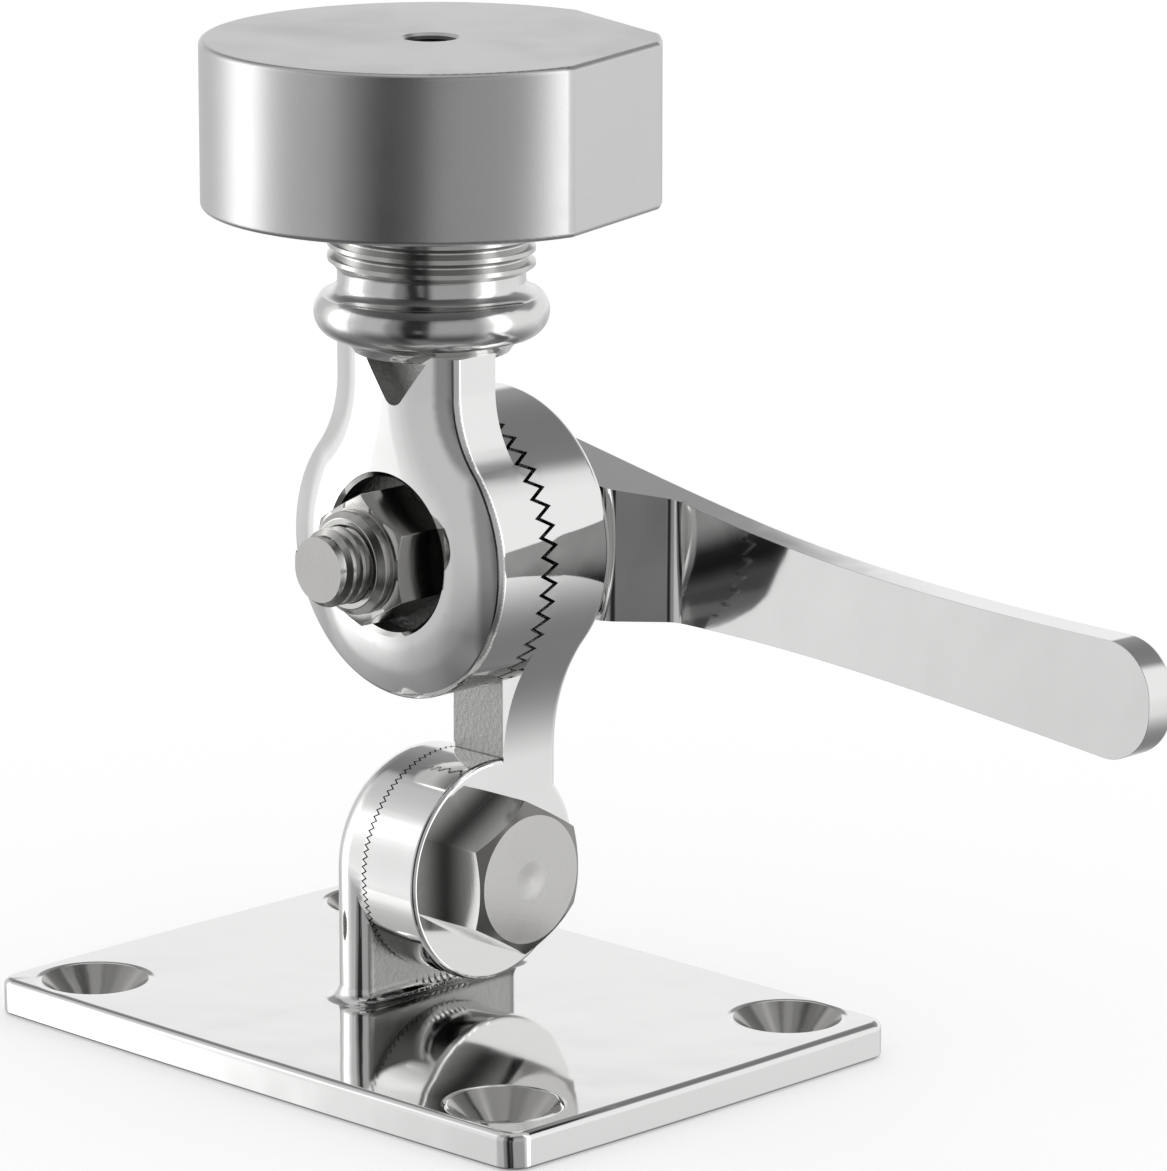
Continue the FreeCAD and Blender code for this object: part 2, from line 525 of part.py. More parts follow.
def head_casting():
    body = ring_and_neck().cut(cast_notch())
    body = body.fuse(thread_and_flange())
    crown = cylinder_y(RING_RADIUS, RING_TOOTH_ROOT_Y - 1, RING_TIP_Y, THREAD_AXIS_X, UPPER_AXIS_Z)
    body = body.fuse(crown)
    mesh = UPPER_CENTRE - Vector(0, UPPER_MESH_GAP / 2, 0)
    cutter = tooth_cutter(mesh, "Y", UPPER_TEETH, UPPER_TOOTH_HEIGHT, RING_RADIUS, 1)
    zone = cylinder_y(RING_RADIUS + 0.5, RING_TOOTH_ROOT_Y, RING_TIP_Y + 2, THREAD_AXIS_X, UPPER_AXIS_Z)
    body = body.cut(cutter.common(zone))
    body = body.cut(cylinder_y(UPPER_RELIEF_RADIUS, RING_TOOTH_ROOT_Y - UPPER_RELIEF_DEPTH, RING_TIP_Y + 1,
                               THREAD_AXIS_X, UPPER_AXIS_Z))
    lip = NUT_POCKET_LIP
    pocket = [(0, 1), (NUT_POCKET_RADIUS + lip + 1, 1), (NUT_POCKET_RADIUS, -lip),
              (NUT_POCKET_RADIUS, -NUT_POCKET_DEPTH), (0, -NUT_POCKET_DEPTH)]
    pocket_centre = Vector(THREAD_AXIS_X, RING_FRONT_Y, UPPER_AXIS_Z)
    body = body.cut(turned_solid(pocket, pocket_centre, Vector(0, -1, 0)))
    bore = cylinder_y(CLAMP_BORE_RADIUS, RING_FRONT_Y - 1, RING_TIP_Y + 1, THREAD_AXIS_X, UPPER_AXIS_Z)
    return body.cut(bore)


def chamfered_hexagon(flats, height, face_radius, seat, axis, outward, centre):
    """Hexagon whose outer corners are turned off by a cone; seat is its inner face's place."""
    start = seat if outward > 0 else seat - height
    prism = hexagon_prism(flats, start, height, centre, axis)
    corner_radius = flats / math.sqrt(3) + 1
    fall = (corner_radius - face_radius) * math.tan(math.radians(HEAD_CHAMFER_ANGLE))
    profile = [(0, 0), (corner_radius, 0), (corner_radius, height - fall), (face_radius, height), (0, height)]
    if axis == "X":
        origin = Vector(seat, centre[0], centre[1])
        direction = Vector(outward, 0, 0)
    else:
        origin = Vector(centre[0], seat, centre[1])
        direction = Vector(0, outward, 0)
    return prism.common(turned_solid(profile, origin, direction))


def bolt_shank(radius, tip_radius, length, origin, direction):
    profile = [(0, 0), (radius, 0), (radius, length - BOLT_TIP_CHAMFER), (tip_radius, length), (0, length)]
    return turned_solid(profile, origin, direction)


def lower_bolt():
    """Hexagon bolt from the link's front through the ear's tapped hole."""
    seat = LINK_FRONT_X
    centre = (LOWER_AXIS_Y, LOWER_AXIS_Z)
    head = chamfered_hexagon(LOWER_BOLT_FLATS, LOWER_BOLT_HEAD_HEIGHT, LOWER_BOLT_FACE_RADIUS, seat, "X", 1,
                             centre)
    inside = LOWER_BOLT_HEAD_HEIGHT / 2
    length = seat - EAR_BACK_X + LOWER_BOLT_STICK_OUT + inside
    shank = bolt_shank(LOWER_BOLT_RADIUS, LOWER_BOLT_TIP_RADIUS, length,
                       Vector(seat + inside, LOWER_AXIS_Y, LOWER_AXIS_Z), Vector(-1, 0, 0))
    outer = seat + LOWER_BOLT_HEAD_HEIGHT
    over = 1.0
    rise = LOWER_BOLT_DIMPLE_RADIUS * over / LOWER_BOLT_DIMPLE_DEPTH
    dimple = turned_solid([(0, -LOWER_BOLT_DIMPLE_DEPTH), (LOWER_BOLT_DIMPLE_RADIUS + rise, over), (0, over)],
                          Vector(outer, LOWER_AXIS_Y, LOWER_AXIS_Z), Vector(1, 0, 0))
    return head.fuse(shank).removeSplitter().cut(dimple)


def clamp_bolt():
    """Hexagon bolt from the lever's back right through the upper joint and its nut."""
    seat = CLAMP_HEAD_SEAT_Y
    centre = (THREAD_AXIS_X, UPPER_AXIS_Z)
    head = chamfered_hexagon(CLAMP_BOLT_FLATS, CLAMP_BOLT_HEAD_HEIGHT, CLAMP_BOLT_FACE_RADIUS, seat, "Y", 1,
                             centre)
    inside = CLAMP_BOLT_HEAD_HEIGHT / 2
    shank = bolt_shank(CLAMP_BOLT_RADIUS, CLAMP_BOLT_TIP_RADIUS, CLAMP_BOLT_LENGTH + inside,
                       Vector(THREAD_AXIS_X, seat + inside, UPPER_AXIS_Z), Vector(0, -1, 0))
    return head.fuse(shank).removeSplitter()


def clamp_lock_nut():
    """Hexagon with a rolled collar that traps the locking ring."""
    centre = (THREAD_AXIS_X, UPPER_AXIS_Z)
    hexagon = chamfered_hexagon(NUT_FLATS, NUT_HEX_HEIGHT, NUT_FACE_RADIUS, NUT_BACK_Y, "Y", -1, centre)
    origin = Vector(THREAD_AXIS_X, NUT_BACK_Y, UPPER_AXIS_Z)
    roll = NUT_COLLAR_ROLL
    collar = [(0, NUT_HEX_HEIGHT / 2), (NUT_COLLAR_RADIUS, NUT_HEX_HEIGHT / 2),
              (NUT_COLLAR_RADIUS, NUT_HEIGHT - roll), (NUT_COLLAR_RADIUS - roll, NUT_HEIGHT), (0, NUT_HEIGHT)]
    body = hexagon.fuse(turned_solid(collar, origin, Vector(0, -1, 0))).removeSplitter()
    start = NUT_TOP_Y + INSERT_INSET
    seat = cylinder_y(CLAMP_BOLT_RADIUS + INSERT_WALL, start, start + INSERT_DEPTH, *centre)
    bore = cylinder_y(CLAMP_TAPPED_RADIUS, NUT_TOP_Y - 1, NUT_BACK_Y + 1, *centre)
    return body.cut(seat).cut(bore)


def lock_nut_insert():
    start = NUT_TOP_Y + INSERT_INSET
    centre = (THREAD_AXIS_X, UPPER_AXIS_Z)
    ring = cylinder_y(CLAMP_BOLT_RADIUS + INSERT_WALL, start, start + INSERT_DEPTH, *centre)
    return ring.cut(cylinder_y(CLAMP_TAPPED_RADIUS, start - 1, start + INSERT_DEPTH + 1, *centre))


def clamp_washer():
    centre = (THREAD_AXIS_X, UPPER_AXIS_Z)
    disc = cylinder_y(WASHER_RADIUS, LINK_BACK_Y, WASHER_BACK_Y, *centre)
    return disc.cut(cylinder_y(CLAMP_BORE_RADIUS, LINK_BACK_Y - 1, WASHER_BACK_Y + 1, *centre))


def lever_side_outline():
    """Outline of the lever seen square to its flat: round hub, waist and round-cornered paddle."""
    tip_x = PADDLE_LENGTH
    middle_z = -PADDLE_DROP
    top_z = middle_z + PADDLE_HALF_WIDTH
    low_z = middle_z - PADDLE_HALF_WIDTH
    corner = PADDLE_TIP_RADIUS
    slant = corner * (1 - math.sqrt(0.5))

    def place(x, z):
        return Vector(THREAD_AXIS_X + x, HUB_FRONT_Y, UPPER_AXIS_Z + z)

    hub_top = place(HUB_RADIUS * math.sin(math.radians(9)), HUB_RADIUS * math.cos(math.radians(9)))
    hub_low = place(0, -HUB_RADIUS)
    tip_start = tip_x - corner
    neck_x = 0.2 * tip_start
    waist_x = 0.42 * tip_start
    bulge_x = 0.72 * tip_start
    upper_edge = Part.BSplineCurve()
    upper_edge.interpolate([hub_top, place(neck_x, 0.5 * (HUB_RADIUS + WAIST_TOP)), place(waist_x, WAIST_TOP),
                            place(bulge_x, 0.8 * top_z + 0.2 * WAIST_TOP), place(tip_start, top_z)])
    lower_edge = Part.BSplineCurve()
    lower_edge.interpolate([place(tip_start, low_z), place(bulge_x, 0.42 * low_z + 0.58 * WAIST_BOTTOM),
                            place(waist_x, WAIST_BOTTOM), place(neck_x, WAIST_BOTTOM + 0.1), hub_low])
    tip_top = Part.Arc(place(tip_x - corner, top_z), place(tip_x - slant, top_z - slant),
                       place(tip_x, top_z - corner))
    tip_side = Part.LineSegment(place(tip_x, top_z - corner), place(tip_x, low_z + corner))
    tip_low = Part.Arc(place(tip_x, low_z + corner), place(tip_x - slant, low_z + slant),
                       place(tip_x - corner, low_z))
    hub_round = Part.Arc(hub_low, place(-HUB_RADIUS, 0), hub_top)
    parts = [upper_edge, tip_top, tip_side, tip_low, lower_edge, hub_round]
    return Part.Wire([part.toShape() for part in parts])


def lever_top_outline():
    """Outline of the lever seen from above: thick hub, S bend, thin paddle, straight back."""
    back = HUB_BACK_Y
    left = THREAD_AXIS_X - HUB_RADIUS - 1
    right = THREAD_AXIS_X + PADDLE_LENGTH + 1
    z = UPPER_AXIS_Z - 2 * HUB_RADIUS
    points = [Vector(left, HUB_FRONT_Y, z), Vector(THREAD_AXIS_X + HUB_FLAT_LENGTH, HUB_FRONT_Y, z),
              Vector(THREAD_AXIS_X + PADDLE_START, PADDLE_FRONT_Y, z), Vector(right, PADDLE_FRONT_Y, z),
              Vector(right, back, z), Vector(left, back, z)]
    return Part.makePolygon(points + points[:1])


def lever_handle():
    side = Part.Face(lever_side_outline()).extrude(Vector(0, HUB_THICKNESS, 0))
    above = Part.Face(lever_top_outline()).extrude(Vector(0, 0, 4 * HUB_RADIUS))

    def at_bend(edge, length, y):
        box = edge.BoundBox
        upright = box.ZLength > 2 * HUB_RADIUS and box.XLength < 1e-6
        return upright and abs(box.XMin - THREAD_AXIS_X - length) < 1e-4 and abs(box.YMin - y) < 1e-4

    outer = edges_where(above, lambda edge: at_bend(edge, HUB_FLAT_LENGTH, HUB_FRONT_Y))
    above = above.makeFillet(BEND_OUTER_ROUND, outer)
    inner = edges_where(above, lambda edge: at_bend(edge, PADDLE_START, PADDLE_FRONT_Y))
    above = above.makeFillet(BEND_INNER_ROUND, inner)
    body = side.common(above)
    flat = edges_where(body, lambda edge: edge_lies_at(edge, 1, HUB_BACK_Y))
    body = body.makeFillet(LEVER_EDGE_ROUND, flat)
    centre = (THREAD_AXIS_X, UPPER_AXIS_Z)
    body = body.cut(cylinder_y(CLAMP_BORE_RADIUS, HUB_FRONT_Y - 1, HUB_BACK_Y + 1, *centre))
    pocket_flats = CLAMP_BOLT_FLATS + 2 * HEX_POCKET_CLEARANCE
    pocket = hexagon_prism(pocket_flats, CLAMP_HEAD_SEAT_Y, HUB_BACK_Y - CLAMP_HEAD_SEAT_Y + 1, centre, "Y")
    return body.cut(pocket)


def flat_cutter(angle):
    """Block that leaves one flat on the adapter's side, facing this way round from +X."""
    turn = math.radians(angle)
    size = 2 * ADAPTER_RADIUS
    low = Vector(ADAPTER_FLAT_DISTANCE, -size / 2, ADAPTER_BOTTOM_Z - 1)
    block = Part.makeBox(size, size, ADAPTER_HEIGHT + 2, low)
    block.rotate(Vector(0, 0, 0), Vector(0, 0, 1), math.degrees(turn))
    block.translate(Vector(THREAD_AXIS_X, THREAD_AXIS_Y, 0))
    return block


def antenna_adapter():
    top_z = ADAPTER_BOTTOM_Z + ADAPTER_HEIGHT
    centre = (THREAD_AXIS_X, THREAD_AXIS_Y)
    body = cylinder_z(ADAPTER_RADIUS, ADAPTER_BOTTOM_Z, top_z, *centre)
    for angle in ADAPTER_FLAT_ANGLES:
        body = body.cut(flat_cutter(angle))
    rims = edges_where(body, lambda edge: edge_lies_at(edge, 2, top_z)
                       or edge_lies_at(edge, 2, ADAPTER_BOTTOM_Z))
    body = body.makeFillet(ADAPTER_EDGE_ROUND, rims)
    bore_radius = THREAD_RADIUS + THREAD_CLEARANCE
    bore_top = THREAD_TOP_Z + ADAPTER_BORE_ROOM
    chamfer = ADAPTER_BORE_CHAMFER
    mouth = TAPPED_HOLE_MOUTH_RADIUS - TAPPED_HOLE_RADIUS
    over = 1.0
    bore = [(0, ADAPTER_BOTTOM_Z - over), (bore_radius + chamfer, ADAPTER_BOTTOM_Z - over),
            (bore_radius + chamfer, ADAPTER_BOTTOM_Z), (bore_radius, ADAPTER_BOTTOM_Z + chamfer),
            (bore_radius, bore_top), (TAPPED_HOLE_RADIUS, bore_top), (TAPPED_HOLE_RADIUS, top_z - mouth),
            (TAPPED_HOLE_MOUTH_RADIUS, top_z), (TAPPED_HOLE_MOUTH_RADIUS, top_z + over), (0, top_z + over)]
    return body.cut(turned_solid(bore, Vector(centre[0], centre[1], 0), Vector(0, 0, 1)))


PIECES = {
    "base_casting": base_casting,
    "lower_bolt": lower_bolt,
    "link_casting": link_casting,
    "head_casting": head_casting,
    "clamp_bolt": clamp_bolt,
    "clamp_lock_nut": clamp_lock_nut,
    "lock_nut_insert": lock_nut_insert,
    "clamp_washer": clamp_washer,
    "lever_handle": lever_handle,
    "antenna_adapter": antenna_adapter,
}


def main():
    os.makedirs("parts", exist_ok=True)
    for name, build in PIECES.items():
        shape = build()
        if len(shape.Solids) == 1:
            shape = shape.Solids[0]
        shape.exportStep("parts/" + name + ".step")
        box = shape.BoundBox
        print(name, shape.ShapeType, "valid", shape.isValid(), "solids", len(shape.Solids),
              "volume", round(shape.Volume, 1), "x", round(box.XMin, 2), round(box.XMax, 2),
              "y", round(box.YMin, 2), round(box.YMax, 2), "z", round(box.ZMin, 2), round(box.ZMax, 2))


main()
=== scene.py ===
"""Dresses a stainless ratchet mount for a boat antenna and lights it like a studio picture."""
import logging
import math
from dataclasses import dataclass
from enum import Enum, IntEnum
from typing import Callable

import bmesh
import bpy
from mathutils import Matrix, Vector


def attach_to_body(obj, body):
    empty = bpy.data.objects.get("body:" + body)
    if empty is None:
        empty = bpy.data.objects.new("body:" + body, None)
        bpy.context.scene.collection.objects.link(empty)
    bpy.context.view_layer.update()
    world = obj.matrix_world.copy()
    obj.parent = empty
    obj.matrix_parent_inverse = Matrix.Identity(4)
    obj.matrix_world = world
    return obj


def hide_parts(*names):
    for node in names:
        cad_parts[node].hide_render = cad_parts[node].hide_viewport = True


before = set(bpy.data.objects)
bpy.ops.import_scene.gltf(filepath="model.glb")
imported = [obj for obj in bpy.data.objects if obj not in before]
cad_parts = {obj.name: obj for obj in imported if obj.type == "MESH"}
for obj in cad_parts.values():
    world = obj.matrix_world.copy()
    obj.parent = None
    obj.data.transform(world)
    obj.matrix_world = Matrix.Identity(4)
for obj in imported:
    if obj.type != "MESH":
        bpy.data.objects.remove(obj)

LOG = logging.getLogger("antenna_mount")
MM = 0.001
MERGE_DISTANCE = 0.002 * MM

Colour = tuple[float, float, float, float]
Point = tuple[float, float, float]
Socket = bpy.types.NodeSocket


class Slot(Enum):
    """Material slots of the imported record."""

    CAST = "cast_stainless"
    BOLT = "bolt_steel"
    ADAPTER = "adapter_aluminium"
    NYLON = "insert_nylon"


class Body(Enum):
    """Moving bodies of the mount."""

    BASE = "base"
    LINK = "link"
    LEVER = "lever"
    NUT = "nut"
    HEAD = "head"
    ADAPTER = "adapter"


class HeadFinish(IntEnum):
    """Finishes of the head casting, in the order of its materials; the pocket's near-black colour is painted
    shade.
    """

    POLISHED = 0
    HOLLOW = 1
    POCKET = 2
    TURNED = 3
    FRONT = 4


class BoltFinish(IntEnum):
    """Finishes of the lower bolt, in the order of its materials; the sides carry painted highlight and shade,
    the corners a painted dark reflection.
    """

    FACE = 0
    SIDES = 1
    CORNERS = 2
    DISH = 3


# Node helpers


class Tree:
    """Small hand for building a node tree one node at a time."""

    def __init__(self, tree: bpy.types.NodeTree) -> None:
        """Keeps the tree and empties it.

        Args:
            tree: The node tree that is filled.
        """
        self.tree = tree
        tree.nodes.clear()

    def add(self, kind: str, inputs: dict | None = None, **settings: object) -> bpy.types.Node:
        """Adds a node.

        Args:
            kind: Node type name.
            inputs: Values or sockets for inputs, by name or number.
            settings: Properties of the node.

        Returns:
            The new node.
        """
        node = self.tree.nodes.new(kind)
        for name, value in settings.items():
            setattr(node, name, value)
        for key, value in (inputs or {}).items():
            socket = node.inputs[key]
            if isinstance(value, Socket):
                self.tree.links.new(value, socket)
            else:
                socket.default_value = value
        return node

    def join(self, value: Socket, node: bpy.types.Node, name: str) -> None:
        """Links a value to a node's input."""
        self.tree.links.new(value, node.inputs[name])

    def math(self, operation: str, *values: object) -> Socket:
        """Adds a Math node for numbers or sockets, and returns its result."""
        return self.add("ShaderNodeMath", dict(enumerate(values)), operation=operation).outputs[0]

    def vector(self, operation: str, *values: object) -> Socket:
        """Adds a Vector Math node, and returns its result: a number for a length or a dot product."""
        node = self.add("ShaderNodeVectorMath", dict(enumerate(values)), operation=operation)
        return node.outputs["Value" if operation in ("LENGTH", "DOT_PRODUCT") else "Vector"]

    def combine(self, x: object, y: object) -> Socket:
        """Adds a node that makes a flat vector of two numbers, and returns its result."""
        return self.add("ShaderNodeCombineXYZ", {0: x, 1: y}).outputs[0]

    def split(self, vector: Socket) -> bpy.types.bpy_prop_collection:
        """Adds a node that splits a vector, and returns its three outputs."""
        return self.add("ShaderNodeSeparateXYZ", {0: vector}).outputs

    def place(self) -> Socket:
        """Adds the place on the surface in the piece's own space."""
        return self.add("ShaderNodeTexCoord").outputs["Object"]

    def noise(self, spot: Socket, scale: object, detail: float, roughness: float = 0.5) -> Socket:
        """Adds a noise with a scale, a detail and a roughness, and returns its value."""
        return self.add("ShaderNodeTexNoise", {"Vector": spot, "Scale": scale, "Detail": detail,
                                               "Roughness": roughness}).outputs["Fac"]

    def ramp(self, value: object, low: float, high: float, to_low: float = 0.0,
             to_high: float = 1.0) -> Socket:
        """Maps a value smoothly from one range to another.

        Args:
            value: Number or socket to map.
            low: Where the change starts.
            high: Where the change ends.
            to_low: Result at low.
            to_high: Result at high.

        Returns:
            The mapped value's socket.
        """
        node = self.add("ShaderNodeMapRange", {"Value": value, "From Min": low, "From Max": high,
                                               "To Min": to_low, "To Max": to_high},
                        interpolation_type="SMOOTHSTEP")
        return node.outputs["Result"]

    def mix(self, factor: object, first: object, second: object) -> Socket:
        """Mixes two colours by the share of the second, and returns the result."""
        return self.add("ShaderNodeMix", {0: factor, 6: first, 7: second}, data_type="RGBA").outputs[2]


def new_group(name: str, inputs: dict[str, float | Point],
              *outputs: str) -> tuple[bpy.types.NodeTree, Tree, dict[str, Socket], bpy.types.Node]:
    """Starts a shader node group whose inputs and outputs have names.

    Args:
        name: The group's name.
        inputs: Default number or vector by name.
        outputs: Names of the numbers that it puts out.

    Returns:
        The group, its builder, its input sockets by name, and its output node.
    """
    group = bpy.data.node_groups.new(name, "ShaderNodeTree")
    for label, default in inputs.items():
        kind = "NodeSocketFloat" if isinstance(default, float) else "NodeSocketVector"
        group.interface.new_socket(label, in_out="INPUT", socket_type=kind).default_value = default
    for label in outputs:
        group.interface.new_socket(label, in_out="OUTPUT", socket_type="NodeSocketFloat")
    tree = Tree(group)
    entry = tree.add("NodeGroupInput").outputs
    return group, tree, {label: entry[label] for label in inputs}, tree.add("NodeGroupOutput")


class SurfaceGroups:
    """Shader groups that several finishes share, each built once."""

    def __init__(self) -> None:
        """Builds every group."""
        self.cast_skin = self._cast_skin()
        self.turned_lines = self._turned_lines()
        self.box_mask = self._box_mask()
        self.head_outline = self._head_outline()
        self.hole_rims = self._hole_rims()

    @staticmethod
    def _cast_skin() -> bpy.types.NodeTree:
        """Builds the skin of a casting: slow waves, and fine grains where it isn't polished."""
        group, tree, entry, out = new_group("Cast skin", {"Wave Size": 90.0, "Grain Size": 1500.0},
                                            "Waves", "Grains", "Smudge")
        place = tree.place()
        tree.join(tree.noise(place, entry["Wave Size"], 1.5, 0.4), out, "Waves")
        tree.join(tree.noise(place, entry["Grain Size"], 4.0, 0.65), out, "Grains")
        tree.join(tree.ramp(tree.noise(place, 60.0, 5.0, 0.6), 0.35, 0.75), out, "Smudge")
        return group

    @staticmethod
    def _turned_lines() -> bpy.types.NodeTree:
        """Builds the fine rings that a lathe tool leaves about an upright or lying axis."""
        group, tree, entry, out = new_group(
            "Turned lines", {"Centre": (0.0, 0.0, 0.0), "Axis": (0.0, 0.0, 1.0), "Density": 2500.0},
            "Lines", "Bands")
        offset = tree.vector("SUBTRACT", tree.place(), entry["Centre"])
        along = tree.vector("DOT_PRODUCT", offset, entry["Axis"])
        away = tree.vector("LENGTH", tree.vector("CROSS_PRODUCT", offset, entry["Axis"]))
        spot = tree.combine(away, along)
        tree.join(tree.noise(spot, entry["Density"], 3.0, 0.6), out, "Lines")
        tree.join(tree.noise(spot, 220.0, 2.0), out, "Bands")
        return group

    @staticmethod
    def _box_mask() -> bpy.types.NodeTree:
        """Builds a mask that is 1 inside a soft-edged box in the part's own space."""
        group, tree, entry, out = new_group(
            "Box mask", {"Centre": (0.0, 0.0, 0.0), "Half Size": (1.0, 1.0, 1.0), "Softness": 0.0003}, "Mask")
        size = tree.vector("ABSOLUTE", tree.vector("SUBTRACT", tree.place(), entry["Centre"]))
        over = tree.split(tree.vector("SUBTRACT", size, entry["Half Size"]))
        most = tree.math("MAXIMUM", tree.math("MAXIMUM", over[0], over[1]), over[2])
        ratio = tree.math("DIVIDE", most, entry["Softness"])
        tree.join(tree.ramp(ratio, 0.0, 1.0, 1.0, 0.0), out, "Mask")
        return group

    @staticmethod
    def _head_outline() -> bpy.types.NodeTree:
        """Builds the distance inward from the head's outline: a ring that sweeps up into two straight sides.

        At the foot of the ring the distance grows, so that a fall that depends on it dies out there.
        """
        group, tree, entry, out = new_group(
            "Head outline", {"Centre": (-3.7 * MM, 0.0, 61.1 * MM), "Ring Radius": 18.3 * MM,
                             "Blend Radius": 14.0 * MM, "Blend Side": 24.6 * MM, "Blend Height": 20.93 * MM},
            "Distance")
        offset = tree.split(tree.vector("SUBTRACT", tree.place(), entry["Centre"]))
        side, rise = tree.math("ABSOLUTE", offset[0]), offset[2]
        height = tree.math("MINIMUM", rise, entry["Blend Height"])
        ring = tree.math("SUBTRACT", entry["Ring Radius"], tree.vector("LENGTH", tree.combine(side, rise)))
        corner = tree.combine(tree.math("SUBTRACT", side, entry["Blend Side"]),
                              tree.math("SUBTRACT", height, entry["Blend Height"]))
        neck = tree.math("SUBTRACT", tree.vector("LENGTH", corner), entry["Blend Radius"])
        above = tree.math("GREATER_THAN", tree.math("MULTIPLY", height, entry["Blend Side"]),
                          tree.math("MULTIPLY", side, entry["Blend Height"]))
        distance = tree.math("MULTIPLY_ADD", tree.math("SUBTRACT", neck, ring), above, ring)
        foot = tree.ramp(rise, -18.0 * MM, -8.0 * MM, 6.0 * MM, 0.0)
        tree.join(tree.math("ADD", distance, foot), out, "Distance")
        return group

    @staticmethod
    def _hole_rims() -> bpy.types.NodeTree:
        """Builds the distance outward from the rims of the plate's four countersunk holes."""
        group, tree, entry, out = new_group(
            "Hole rims", {"Hole": (36.3 * MM, 24.5 * MM, 0.0), "Radius": 6.7 * MM}, "Distance")
        offset = tree.vector("SUBTRACT", tree.vector("ABSOLUTE", tree.place()), entry["Hole"])
        away = tree.vector("LENGTH", tree.vector("MULTIPLY", offset, (1.0, 1.0, 0.0)))
        tree.join(tree.math("SUBTRACT", away, entry["Radius"]), out, "Distance")
        return group


@dataclass(frozen=True)
class EdgeFall:
    """How a polished face falls away toward an edge.

    Attributes:
        outline: Shader group that measures the distance from the edge.
        depth: How far the face falls, in millimetres.
        width: Over what width it falls, in millimetres.
    """

    outline: bpy.types.NodeTree
    depth: float
    width: float

    def height(self, tree: Tree) -> Socket:
        """Adds the face's height, steepest at the edge.

        Args:
            tree: Builder of the material's tree.

        Returns:
            The height in metres, zero away from the edge.
        """
        outline = tree.add("ShaderNodeGroup", node_tree=self.outline)
        near = tree.math("MULTIPLY_ADD", outline.outputs[0], -1.0 / (self.width * MM), 1.0)
        near = tree.math("MAXIMUM", near, 0.0)
        return tree.math("MULTIPLY", tree.math("MULTIPLY", near, near), -self.depth * MM)


@dataclass(frozen=True)
class Patch:
    """A box in a part's own space where its surface is left as cast.

    Attributes:
        centre: Middle of the box in millimetres.
        half: Half sizes of the box in millimetres.
        softness: Width of its soft edge in millimetres.
    """

    centre: Point
    half: Point
    softness: float = 0.25

    def mask(self, tree: Tree, groups: SurfaceGroups) -> Socket:
        """Adds the mask that is 1 inside the box, and returns it."""
        return tree.add("ShaderNodeGroup", {"Centre": [value * MM for value in self.centre],
                                            "Half Size": [value * MM for value in self.half],
                                            "Softness": self.softness * MM},
                        node_tree=groups.box_mask).outputs[0]


Start = tuple[bpy.types.Material, Tree, bpy.types.Node, bpy.types.bpy_prop_collection]


def principled(name: str, groups: SurfaceGroups, grain_size: float = 1500.0) -> Start:
    """Starts a material with a Principled shader and a casting's skin.

    Args:
        name: The material's name.
        groups: Shared shader groups.
        grain_size: How fine the skin's grain is.

    Returns:
        The material, its builder, the shader node and the skin's outputs.
    """
    material = bpy.data.materials.new(name)
    material.use_nodes = True
    tree = Tree(material.node_tree)
    shader = tree.add("ShaderNodeBsdfPrincipled")
    output = tree.add("ShaderNodeOutputMaterial")
    tree.join(shader.outputs[0], output, "Surface")
    skin = tree.add("ShaderNodeGroup", {"Grain Size": grain_size}, node_tree=groups.cast_skin)
    return material, tree, shader, skin.outputs


def darker(colour: Colour, share: float) -> Colour:
    """Returns a share of a colour."""
    return tuple(value * share for value in colour[:3]) + (1.0,)


def finish_metal(tree: Tree, shader: bpy.types.Node, height: Socket) -> None:
    """Makes a shader a metal's and gives it its relief.

    Args:
        tree: Builder of the material's tree.
        shader: Its shader node.
        height: Relief in metres.
    """
    bump = tree.add("ShaderNodeBump", {"Height": height, "Strength": 1.0, "Distance": 1.0})
    tree.join(bump.outputs[0], shader, "Normal")
    shader.inputs["Metallic"].default_value = 1.0


@dataclass(frozen=True)
class PolishedCasting:
    """Mirror-polished cast stainless steel, matte grey where the polishing wheel can't reach.

    Attributes:
        name: The material's name.
        patch: Where it is left as cast.
        colour: Its colour.
        rough: Least roughness.
        smudge: How much smudges add to it.
        wave: Height of its slow waves, in metres.
        patch_colour: Colour of the patch.
        patch_rough: Roughness of the patch.
        grain: Height of the grains on the patch, in metres.
        fall: How a face falls away toward an edge.
    """

    name: str
    patch: Patch | None = None
    colour: Colour = (0.83, 0.83, 0.825, 1.0)
    rough: float = 0.05
    smudge: float = 0.03
    wave: float = 0.00005
    patch_colour: Colour = (0.33, 0.33, 0.32, 1.0)
    patch_rough: float = 0.3
    grain: float = 0.00005
    fall: EdgeFall | None = None

    def material(self, groups: SurfaceGroups) -> bpy.types.Material:
        """Builds the finish.

        Args:
            groups: Shared shader groups.

        Returns:
            The material.
        """
        material, tree, shader, skin = principled(self.name, groups)
        rough = tree.math("MULTIPLY_ADD", skin["Smudge"], self.smudge, self.rough)
        height = tree.math("MULTIPLY", skin["Waves"], self.wave)
        if self.patch is None:
            shader.inputs["Base Color"].default_value = self.colour
        else:
            mask = self.patch.mask(tree, groups)
            rough = tree.add("ShaderNodeMix", {0: mask, 2: rough, 3: self.patch_rough},
                             data_type="FLOAT").outputs[0]
            grains = tree.math("MULTIPLY", tree.math("MULTIPLY", skin["Grains"], mask), self.grain)
            height = tree.math("ADD", height, grains)
            tree.join(tree.mix(mask, self.colour, self.patch_colour), shader, "Base Color")
        tree.join(rough, shader, "Roughness")
        if self.fall is not None:
            height = tree.math("ADD", height, self.fall.height(tree))
        finish_metal(tree, shader, height)
        return material


